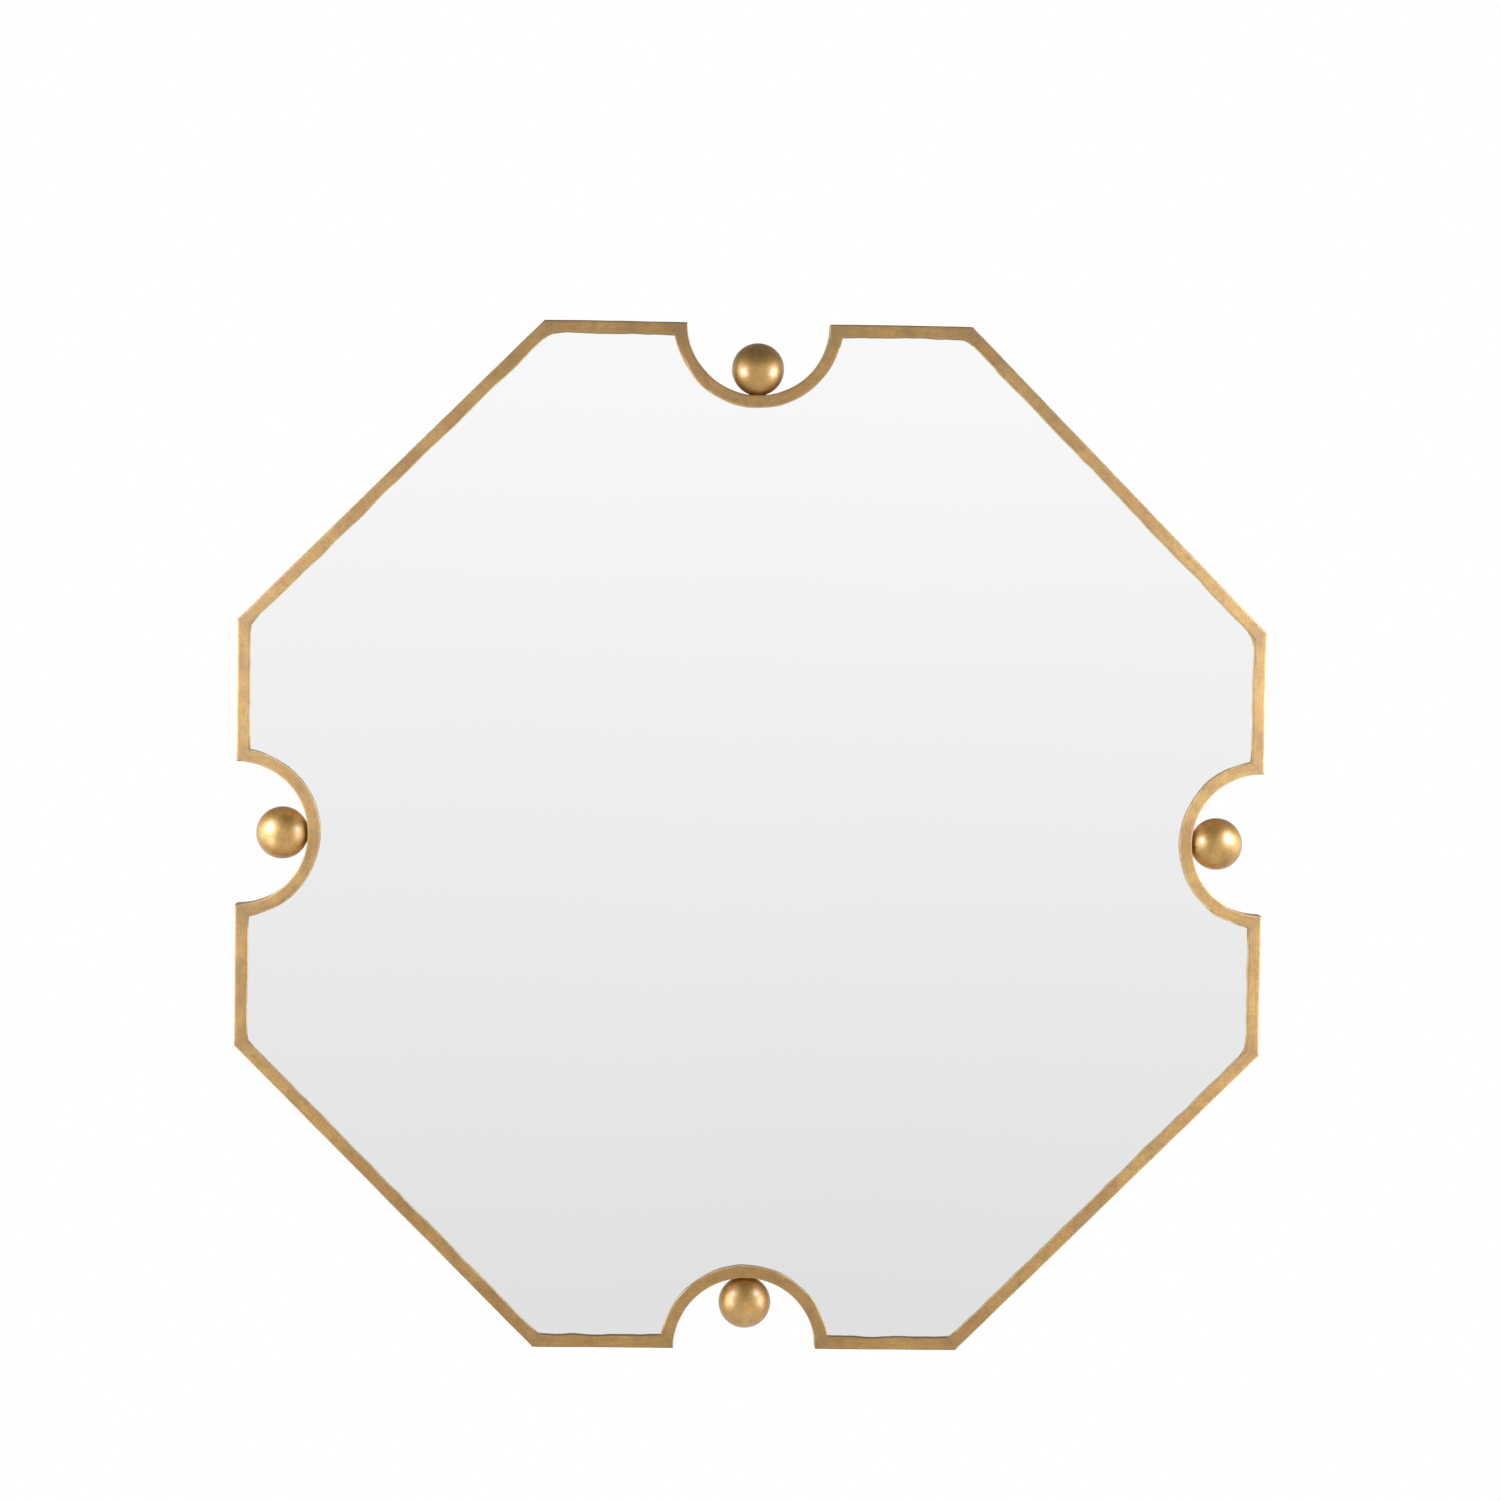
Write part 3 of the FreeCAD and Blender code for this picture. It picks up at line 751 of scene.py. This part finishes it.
# %% Fibreboard panel
BOARD_ARRIS = 0.6 * MM
BOARD_CLOUD = 35
FIBRE, FIBRE_RANGE, FIBRE_MOST = (9, 2, 2.2), (0.52, 0.68), 0.55
SPECK, SPECK_RANGE, SPECK_MOST = 3, (0.66, 0.74), 0.7
panel_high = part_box("backing_panel")[1]
panel = cut_sheet("fibreboard_panel", "backing_panel", HALF - panel_high.z, BOARD_ARRIS)
fibreboard, tree, shader, place = start_material("raw_fibreboard")
cloudy = add_node(tree, "TexNoise", sized(place, BOARD_CLOUD, 3.0))
board = lay_over(tree, srgb("#a8814f"), srgb("#b8935f"), cloudy, MIDTONES)
strands = add_node(tree, "Mapping", {"Vector": place, "Scale": [per_mm(size) for size in FIBRE]})
strands = add_node(tree, "TexNoise", {"Vector": strands, "Scale": 1.0, "Detail": 4.0, "Distortion": 1.5})
board = lay_over(tree, board, srgb("#c9a878"), strands, FIBRE_RANGE, FIBRE_MOST)
specks = add_node(tree, "TexNoise", sized(place, SPECK, 2.0))
board = lay_over(tree, board, srgb("#6e4d2b"), specks, SPECK_RANGE, SPECK_MOST)
bump = add_node(tree, "Bump", {"Strength": 0.35, "Distance": 0.15 * MM, "Height": strands})
wire(tree, shader, {"Base Color": board, "Roughness": 0.82, "Normal": bump})
panel.data.materials.append(fibreboard)
hand_in(panel, "backing_panel")
print("panel points:", len(panel.data.vertices))

# %% [markdown]
# ## Tape
#
# The tape between glass and panel is acrylic foam: pale grey, matt and faintly pitted by its cells. Its
# strips are plain pieces that the frame already has in the right shape, so they only get a material.

# %% Dress the tape
FOAM_CELL = 1.2
cells = {"relief": 0.2, "detail": 0.0, "kind": "TexVoronoi"}
foam = mottled("acrylic_foam_tape", FOAM_CELL, ("#b9bab6", "#dcdcd8"), (0.9, 0.9), 0.4, **cells)


def paint_node(name, material):
    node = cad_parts[name]
    node.data.materials.clear()
    node.data.materials.append(material)


paint_node("mounting_tape", foam)
print("kept in its own shape: mounting_tape")

# %% [markdown]
# ## Panel tabs
#
# Eight small steel tabs, welded inside the diagonal rails, hold the panel from behind. Each is a cut strip
# with a bead of weld along the rail. A tab is a box with two edges bevelled and its rim softened; the bead
# is a thin bar sunk into the corner and rippled. Black primer gives the eye a near-black satin with a slight
# orange peel.

# %% Model one tab
PRIMER_PEEL = 1.6
TAB_WIDTH, TAB_LENGTH, TAB_THICKNESS = 25 * MM, 20 * MM, 2 * MM
TAB_CORNER, TAB_RIM = 4 * MM, 0.3 * MM
BEAD_RADIUS, BEAD_SINK, BEAD_SHARE = 1.3 * MM, 0.4 * MM, 0.8
RIPPLE_SIZE, RIPPLE_HEIGHT = 2.2 * MM, 0.8 * MM
PANEL_REAR_Y = panel_high.y
TAB_EDGE = HALF - BAR_WIDTH
black_steel = mottled(
    "black_primed_steel", PRIMER_PEEL, ("#191918", "#2b2a28"), (0.42, 0.58), strength=0.25, detail=2.0
)
tab_middle = (0, PANEL_REAR_Y + TAB_THICKNESS / 2, TAB_EDGE - TAB_LENGTH / 2)
tab = add_box("tab", tab_middle, (TAB_WIDTH, TAB_THICKNESS, TAB_LENGTH))
shape(tab)
at_foot = TAB_EDGE - TAB_LENGTH + TAB_CORNER
pick(tab, "EDGE", lambda edge: edge.calc_length() < TAB_CORNER and edge.verts[0].co.z < at_foot)
bpy.ops.mesh.bevel(offset=TAB_CORNER, segments=8, affect="EDGES")
soften(tab, TAB_RIM)
bead_place = (0, PANEL_REAR_Y + TAB_THICKNESS, TAB_EDGE - BEAD_SINK)
bead = add_round("bead", 16, BEAD_RADIUS, TAB_WIDTH * BEAD_SHARE, bead_place, ALONG_X)
shape(bead)
pick(bead, "EDGE", lambda edge: edge.calc_length() > 2 * BEAD_RADIUS)
bpy.ops.mesh.subdivide(number_cuts=24)
ripples = bpy.data.textures.new("weld_ripples", "CLOUDS")
ripples.noise_scale = RIPPLE_SIZE
add_modifier(bead, "DISPLACE", texture=ripples, texture_coords="GLOBAL", strength=RIPPLE_HEIGHT)
tab = joined([tab, bead], "tab")
smooth(tab, black_steel)
print("tab points:", len(tab.data.vertices))

# %% [markdown]
# Two tabs go on each diagonal rail. The solids name them high and low, so each tab's place along the rail is
# turned with its side to see which it is.

# %% Set the tabs
TAB_SPACING = 200 * MM
tab_spots = [(side, along) for side in DIAGONALS for along in (-TAB_SPACING / 2, TAB_SPACING / 2)]


def spot_on(side, along, z):
    """Where a spot of the top side comes to lie on another side."""
    spot = Vector((along, 0, z))
    spot.rotate(Euler((0, TURN[side], 0)))
    return spot


for side, along in tab_spots:
    node = f"{side}_panel_tab_{'high' if spot_on(side, along, 0).z > 0 else 'low'}"
    twin = copy_of(tab, node + "_primed")
    twin.location.x = along
    turned_to(settle(twin), side)
    hand_in(twin, node)
bpy.data.objects.remove(tab)
print("tabs:", len(tab_spots))

# %% [markdown]
# ## Screws
#
# The tabs and the hanger straps are held by zinc-plated pan-head screws. Zinc plate is a cool grey metal,
# cloudy where the plating bloomed and dull where it was scuffed. The pins inside the balls are plated too.
# A screw starts as a short cylinder for the head. Its top edge is bevelled into a low dome, the underside
# is inset and drawn out into the shank and its point, and two crossed boxes cut the recess for the driver.

# %% Zinc plate
ZINC_BLOOM = 7
ZINC_SCUFF = 1.2
zinc, tree, shader, place = start_material("zinc_plated_steel")
bloom = add_node(tree, "TexNoise", sized(place, ZINC_BLOOM, 3.0))
tone = lay_over(tree, srgb("#a9adb0"), srgb("#c9c8c2"), bloom, MIDTONES)
scuffs = add_node(tree, "TexNoise", sized(place, ZINC_SCUFF, 3.0))
dull = add_node(tree, "MapRange", {"Value": scuffs, "To Min": 0.26, "To Max": 0.46})
bump = add_node(tree, "Bump", {"Strength": 0.15, "Distance": 0.08 * MM, "Height": scuffs})
wire(tree, shader, {"Base Color": tone, "Metallic": 1.0, "Roughness": dull, "Normal": bump})
paint_node("ball_pins", zinc)
print("kept in its own shape: ball_pins")

# %% Model one screw
HEAD_RADIUS, HEAD_HEIGHT, HEAD_DOME = 4 * MM, 2.4 * MM, 1.7 * MM
SHANK_RADIUS, SHANK_LENGTH, POINT_LENGTH = 2 * MM, 8 * MM, 2 * MM
POINT_TAPER = (0.1, 1, 0.1)
RECESS = (4.4 * MM, 1.1 * MM)
DRIVER_DEPTH = 2.6 * MM
screw = add_round("screw", 48, HEAD_RADIUS, HEAD_HEIGHT, (0, HEAD_HEIGHT / 2, 0))
shape(screw)
pick(screw, "EDGE", lambda edge: min(end.co.y for end in edge.verts) > HEAD_HEIGHT / 2)
bpy.ops.mesh.bevel(offset=HEAD_DOME, offset_type="OFFSET", segments=8, affect="EDGES")
pick(screw, "FACE", lambda face: face.normal.y < -FLAT)
bpy.ops.mesh.inset(thickness=HEAD_RADIUS - SHANK_RADIUS)
draw_out(0, POINT_LENGTH - SHANK_LENGTH, 0)
draw_out(0, -POINT_LENGTH, 0)
bpy.ops.transform.resize(value=POINT_TAPER, center_override=(0, -SHANK_LENGTH, 0))
for length, width in (RECESS, RECESS[::-1]):
    cut_away(screw, add_box("driver", (0, HEAD_HEIGHT, 0), (length, DRIVER_DEPTH, width)))
close_up(screw)
smooth(screw, zinc)
print("screw points:", len(screw.data.vertices))

# %% [markdown]
# The screws of each kind stand for one set of solids, so their copies are joined into one piece. Every
# screw is turned by a different angle before it is set, because no fitter lines up the recesses.

# %% Set the screws
strap_low, strap_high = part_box("right_hanger_strap")
EYE_RADIUS = 3.7 * MM
EYE_AXIS = Vector(((strap_low.x + strap_high.x) / 2, strap_low.y + EYE_RADIUS, strap_high.z - EYE_RADIUS))
STRAP_WIDTH = strap_high.x - strap_low.x
STRAP_THICKNESS = 1.5 * MM
STRAP_SCREW_DROPS = (13 * MM, 38 * MM)
TAB_HOLE_INSET = 11 * MM
SCREW_STEP = math.radians(37)


def set_screws(places, seat_y, name, node):
    copies = []
    for number, (x, z) in enumerate(places):
        twin = copy_of(screw, "placed_screw")
        twin.rotation_euler = (0, SCREW_STEP * (number + 1), 0)
        twin.location = (x, seat_y, z)
        copies.append(settle(twin))
    hand_in(joined(copies, name), node)


tab_holes = [spot_on(side, along, TAB_EDGE - TAB_HOLE_INSET) for side, along in tab_spots]
tab_places = [(hole.x, hole.z) for hole in tab_holes]
set_screws(tab_places, PANEL_REAR_Y + TAB_THICKNESS, "tab_screws_zinc", "tab_screws")
strap_places = [(x, EYE_AXIS.z - drop) for x in (-EYE_AXIS.x, EYE_AXIS.x) for drop in STRAP_SCREW_DROPS]
set_screws(strap_places, PANEL_REAR_Y + STRAP_THICKNESS, "hanger_screws_zinc", "hanger_screws")
bpy.data.objects.remove(screw)
print("screws:", len(tab_places) + len(strap_places))

# %% [markdown]
# ## Hangers
#
# Two strap hangers carry the mirror. A strap is a flat strip rolled at its top into an eye. It could be a
# plain box, but the eye shows from behind, so the strip's end face is spun round the eye's axis, as the
# press rolls it.

# %% Hanger straps
STRAP_END_CORNER, STRAP_RIM = 6 * MM, 0.2 * MM
EYE_WRAP = math.radians(318)
HOLE_RADIUS = 2.25 * MM
strap_length = EYE_AXIS.z - strap_low.z
strap_middle = (0, STRAP_THICKNESS / 2 - EYE_RADIUS, -strap_length / 2)
strap = add_box("strap", strap_middle, (STRAP_WIDTH, STRAP_THICKNESS, strap_length))
shape(strap)
at_foot = STRAP_END_CORNER - strap_length
pick(strap, "EDGE", lambda edge: edge.calc_length() < STRAP_END_CORNER and edge.verts[0].co.z < at_foot)
bpy.ops.mesh.bevel(offset=STRAP_END_CORNER, segments=10, affect="EDGES")
pick(strap, "FACE", lambda face: face.normal.z > FLAT)
bpy.ops.mesh.spin(steps=40, angle=EYE_WRAP, center=(0, 0, 0), axis=(1, 0, 0))
close_up(strap)
print("eye top:", round(max(v.co.z for v in strap.data.vertices) / MM, 2), "mm over the axis")
for drop in STRAP_SCREW_DROPS:
    cut_away(strap, add_round("drill", 48, HOLE_RADIUS, 4 * STRAP_THICKNESS, (0, -EYE_RADIUS, -drop)))
soften(strap, STRAP_RIM)
smooth(strap, zinc)


def hang(pattern, node, hand, lean, body):
    """Set a copy of a pattern at the left or right eye."""
    twin = copy_of(pattern, node + "_zinc")
    twin.rotation_euler = (lean, 0, 0)
    twin.location = EYE_AXIS
    twin.location.x *= -1 if hand == "left" else 1
    hand_in(settle(twin), node, body)


for hand in ("left", "right"):
    hang(strap, f"{hand}_hanger_strap", hand, 0, "mirror")
bpy.data.objects.remove(strap)

# %% [markdown]
# In each eye swings a ring of round wire, drawn here like bending wire on a jig: straight through the eye,
# round a small bend, up the arm, over the bow and back. A curve with a bevel would give the same wire, but
# extrude and spin leave a plain closed mesh. The rings ride on bodies of their own, because they swing.

# %% Hanger rings
WIRE_RADIUS = 2 * MM
RING_BEND, RING_ARM = 3 * MM, 6 * MM
RING_GAP = 0.5 * MM
BEND_STEPS, BOW_STEPS = 10, 48
ring_leg = STRAP_WIDTH / 2 + RING_GAP
ring_side = ring_leg + RING_BEND
ring_shoulder = RING_BEND + RING_ARM
ring_lean = math.asin((EYE_RADIUS - WIRE_RADIUS - RING_GAP) / (ring_shoulder + ring_side))


def bend_wire(turn, x, z, steps):
    bpy.ops.mesh.spin(steps=steps, angle=turn, center=(x, 0, z), axis=(0, 1, 0))


nothing_selected()
wire_end = {"vertices": 24, "radius": WIRE_RADIUS}
bpy.ops.mesh.primitive_circle_add(location=(-ring_leg, 0, 0), rotation=ALONG_X, **wire_end)
ring = new_piece("ring")
shape(ring)
draw_out(2 * ring_leg, 0, 0)
bend_wire(math.pi / 2, ring_leg, RING_BEND, BEND_STEPS)
draw_out(0, 0, RING_ARM)
bend_wire(math.pi, 0, ring_shoulder, BOW_STEPS)
draw_out(0, 0, -RING_ARM)
bend_wire(math.pi / 2, -ring_leg, RING_BEND, BEND_STEPS)
close_up(ring)
smooth(ring, zinc)
for hand in ("left", "right"):
    hang(ring, f"{hand}_hanger_ring", hand, ring_lean, f"{hand}_ring")
bpy.data.objects.remove(ring)
print("ring height:", round((ring_shoulder + ring_side + WIRE_RADIUS) / MM, 1), "mm over its axis")

# %% [markdown]
# ## Wall bumpers
#
# The balls stand out behind the frame, so four moulded rubber bumpers hold it off the wall. Rubber is matt
# black with a pale bloom, and leaves its mould with a slight taper, soft edges and a dimple at the tip. So a
# bumper is a cylinder with its tip drawn in, its tip face pushed in a little and its edges bevelled.

# %% Rubber wall bumpers
RUBBER_BLOOM = 4
BUMPER_FOOT_RADIUS = 6 * MM
BUMPER_TAPER = (5 / 6, 1, 5 / 6)
BUMPER_LIP, BUMPER_DIMPLE, BUMPER_RIM = 2.2 * MM, 0.8 * MM, 0.7 * MM
rubber = mottled(
    "moulded_black_rubber", RUBBER_BLOOM, ("#1c1c1b", "#33322f"), (0.6, 0.85), strength=0.2, detail=4.0
)
bumper_z = HALF - BAR_WIDTH / 2
bumper = add_round("bumper", 64, BUMPER_FOOT_RADIUS, -REAR_Y, (0, REAR_Y / 2, bumper_z))
shape(bumper)
pick(bumper, "FACE", lambda face: face.normal.y > FLAT)
bpy.ops.transform.resize(value=BUMPER_TAPER, center_override=(0, 0, bumper_z))
bpy.ops.mesh.inset(thickness=BUMPER_LIP)
draw_out(0, -BUMPER_DIMPLE, 0)
soften(bumper, BUMPER_RIM, segments=4)
bumpers = [turned_to(copy_of(bumper, "placed_bumper"), side) for side in DIAGONALS]
bpy.data.objects.remove(bumper)
wall_bumpers = joined(bumpers, "wall_bumpers_rubber")
smooth(wall_bumpers, rubber)
hand_in(wall_bumpers, "wall_bumpers")
print("bumpers:", len(bumpers))

# %% [markdown]
# ## Floor
#
# The mirror hangs clear of everything, as cut-out pictures show it, with a pale painted floor far below. The
# floor gives the eye only a faint warm grey, and it fades to white before its rim so that no edge shows.

# %% Floor
FLOOR_Z = -1.5
FLOOR_RADIUS = 2.6
FLOOR_FADE = {"From Min": 1.9, "From Max": 2.9}
FLOOR_MOTTLE = 300
WHITE = (1, 1, 1, 1)
nothing_selected()
disc = {"vertices": 128, "radius": FLOOR_RADIUS, "fill_type": "NGON"}
bpy.ops.mesh.primitive_circle_add(location=(0, 0, FLOOR_Z), **disc)
floor = new_piece("floor")
pale_floor, tree, shader, place = start_material("pale_studio_floor")
reach = add_node(tree, "VectorMath", {"Vector": place}, operation="LENGTH").outputs["Value"]
fade = add_node(tree, "MapRange", {"Value": reach} | FLOOR_FADE)
mottle = add_node(tree, "TexNoise", sized(place, FLOOR_MOTTLE, 3.0))
tone = lay_over(tree, srgb("#e4e3e0"), srgb("#ecebe9"), mottle)
wire(tree, shader, {"Base Color": tone, "Roughness": 0.7})
glow = add_node(tree, "Emission", {"Color": WHITE, "Strength": 1.0})
seen = add_node(tree, "LightPath").outputs["Is Camera Ray"]
edge_share = add_node(tree, "Math", {0: fade, 1: seen}, operation="MULTIPLY")
faded = add_node(tree, "MixShader", {0: edge_share, 1: shader, 2: glow})
wire(tree, tree.nodes["Material Output"], {"Surface": faded})
floor.data.materials.append(pale_floor)
print("floor at", FLOOR_Z, "m")

# %% [markdown]
# ## The room
#
# A mirror and polished gold show the room more than themselves, so the room is drawn as levels of light
# along an axis, from -1 to 1. The glass looks at a pale backdrop that grows brighter upwards. The ceiling is
# dark, which gives the balls their dark crowns, and the walls glow at the far left and right. Matt surfaces
# get an even light, and the camera itself sees plain white.

# %% World: white to the camera, a studio to the metal
STUDIO_LEVELS = {-1.0: 0.82, -0.45: 1.05, -0.27: 0.9, -0.2: 0.778, 0.05: 0.973}
STUDIO_LEVELS |= {0.14: 1.0, 0.3: 0.46, 0.55: 0.32, 1.0: 0.28}
FACING_LEVELS = {-0.95: 1.0, -0.7: 0.52, 0.0: 0.52, 0.45: 0.9}
SIDE_GLOW = {"From Min": 0.88, "From Max": 0.97, "To Max": 1.8}
WHOLE_AXIS = {"From Min": -1.0, "From Max": 1.0}
AMBIENT = (0.85, 0.85, 0.85, 1)
world = bpy.data.worlds.new("studio")
bpy.context.scene.world = world
world.use_nodes = True
world.cycles.sampling_method = "NONE"
tree = world.node_tree
tree.nodes.clear()
direction = add_node(tree, "TexCoord").outputs["Generated"]
parts = add_node(tree, "SeparateXYZ", {"Vector": direction}).outputs
ramps = []
for axis, levels in (("Z", STUDIO_LEVELS), ("Y", FACING_LEVELS)):
    slope = add_node(tree, "MapRange", {"Value": parts[axis]} | WHOLE_AXIS)
    ramps.append(add_node(tree, "ValToRGB", {"Fac": slope}))
    stops = ramps[-1].color_ramp.elements
    while len(stops) < len(levels):
        stops.new(0.5)
    for stop, (where, level) in zip(stops, levels.items()):
        stop.position = (where + 1) / 2
        stop.color = (level, level, level, 1)
inputs = {"Factor": 1.0, "A": ramps[0], "B": ramps[1]}
studio = add_node(tree, "Mix", inputs, data_type="RGBA", blend_type="MULTIPLY")
sideways = add_node(tree, "Math", {0: parts["X"]}, operation="ABSOLUTE")
strip = add_node(tree, "MapRange", {"Value": sideways} | SIDE_GLOW)
inputs = {"Factor": 1.0, "A": studio, "B": strip}
studio = add_node(tree, "Mix", inputs, data_type="RGBA", blend_type="ADD")
ray = add_node(tree, "LightPath").outputs
sharp = {0: ray["Is Glossy Ray"], 1: ray["Is Transmission Ray"]}
sharp = add_node(tree, "Math", sharp, operation="MAXIMUM")
light = add_node(tree, "Mix", {"Factor": sharp, "A": AMBIENT, "B": studio}, data_type="RGBA")
inputs = {"Factor": ray["Is Camera Ray"], "A": light, "B": WHITE}
light = add_node(tree, "Mix", inputs, data_type="RGBA")
background = add_node(tree, "Background", {"Color": light, "Strength": 1.0})
add_node(tree, "OutputWorld", {"Surface": background})
print("studio levels:", STUDIO_LEVELS)

# %% [markdown]
# ## Lamps
#
# Two softboxes stand close on each side, so the left and right bars shine most, and the high pair is cooler
# and stronger. A weak lamp below stands for light off the floor. In a studio, black cards keep a lamp off
# whatever should stay dark. Light linking does the same here: no lamp shows in the glass, and the low pair
# leaves the top and right balls dark below. Two small lamps work the other way, and light one ball each.

# %% Say where the lamps stand and what they light
COOL_WHITE = (0.92, 1.09, 1.42)
WARMER_WHITE = (0.95, 1.03, 1.1)
NEUTRAL_WHITE = (1, 1, 1)
SOFTBOX_X, SOFTBOX_Y = 0.9, -0.38
SOFTBOX_SIZE = (0.3, 0.4)
SOFTBOXES = {
    "left_high": (-1, 0.24, 5.2),
    "left_low": (-1, -0.36, 1.6),
    "right_high": (1, 0.28, 5.8),
    "right_low": (1, -0.36, 3.0),
}
KICKERS = {"bottom": (-1, -0.4, 2.6), "right": (-1, 0.42, 4.5)}
BOUNCE_PLACE = (0.1, -0.55, -0.95)
BOUNCE_SIZE, BOUNCE_POWER = (0.7, 0.3), 0.55


def link_to(name, pieces, state):
    """Collect pieces that a lamp leaves out, or the only ones that it lights."""
    collection = bpy.data.collections.new(name)
    for piece in pieces:
        collection.objects.link(piece)
    for entry in collection.collection_objects:
        entry.light_linking.link_state = state
    return collection


def hang_lamp(name, place, target, size, power, colour, pieces):
    lamp = bpy.data.lights.new(name, "AREA")
    lamp.shape = "RECTANGLE"
    lamp.size, lamp.size_y = size
    lamp.energy = power
    lamp.color = colour
    box = bpy.data.objects.new(name, lamp)
    box.location = place
    box.rotation_euler = (Vector(target) - Vector(place)).to_track_quat("-Z", "Y").to_euler()
    box.visible_camera = False
    box.light_linking.receiver_collection = pieces
    bpy.context.scene.collection.objects.link(box)


def hang_softbox(name, hand, height, power, colour, pieces):
    place, target = (hand * SOFTBOX_X, SOFTBOX_Y, height), (0, MIDDLE_Y, height)
    hang_lamp(name, place, target, SOFTBOX_SIZE, power, colour, pieces)


# %% Hang the lamps
off_glass = link_to("not_lit_by_lamps", [glass], "EXCLUDE")
unlit_below = [glass, gilt_balls["top"], gilt_balls["right"]]
off_balls = link_to("not_lit_by_low_lamps", unlit_below, "EXCLUDE")
for name, (hand, height, power) in SOFTBOXES.items():
    colour, unlit = (WARMER_WHITE, off_balls) if height < 0 else (COOL_WHITE, off_glass)
    hang_softbox(name, hand, height, power, colour, unlit)
for side, (hand, height, power) in KICKERS.items():
    one_ball = link_to(f"{side}_ball_only", [gilt_balls[side]], "INCLUDE")
    hang_softbox(f"{side}_kicker", hand, height, power, COOL_WHITE, one_ball)
under_frame = (0, MIDDLE_Y, -HALF)
hang_lamp("floor_bounce", BOUNCE_PLACE, under_frame, BOUNCE_SIZE, BOUNCE_POWER, NEUTRAL_WHITE, off_glass)
print("lamps:", len(SOFTBOXES) + len(KICKERS) + 1)

# %% [markdown]
# ## Camera
#
# The camera stands about three and a half metres away with a long lens, a little left of the middle and
# above it, so the octagon is nearly true but the walls of the side notches show. The Standard view transform
# keeps white as white.

# %% Camera
CAMERA_PLACE = (-0.11535, -3.54, 0.23948)
CAMERA_YAW, CAMERA_PITCH, CAMERA_ROLL = (math.radians(angle) for angle in (1.8416, 2.4974, 0.8372))
CAMERA_LENS, CAMERA_SENSOR = 86.54, 36
view = bpy.data.cameras.new("view")
view.lens = CAMERA_LENS
view.sensor_width = CAMERA_SENSOR
camera = bpy.data.objects.new("camera", view)
camera.location = CAMERA_PLACE
aim = Euler((math.pi / 2 - CAMERA_PITCH, 0, -CAMERA_YAW)).to_matrix()
camera.rotation_euler = (aim @ Euler((0, 0, CAMERA_ROLL)).to_matrix()).to_euler()
bpy.context.scene.collection.objects.link(camera)
bpy.context.scene.camera = camera
bpy.context.scene.view_settings.view_transform = "Standard"
print("camera", round((camera.location - Vector((0, FRONT_Y, 0))).length, 2), "m from the frame")
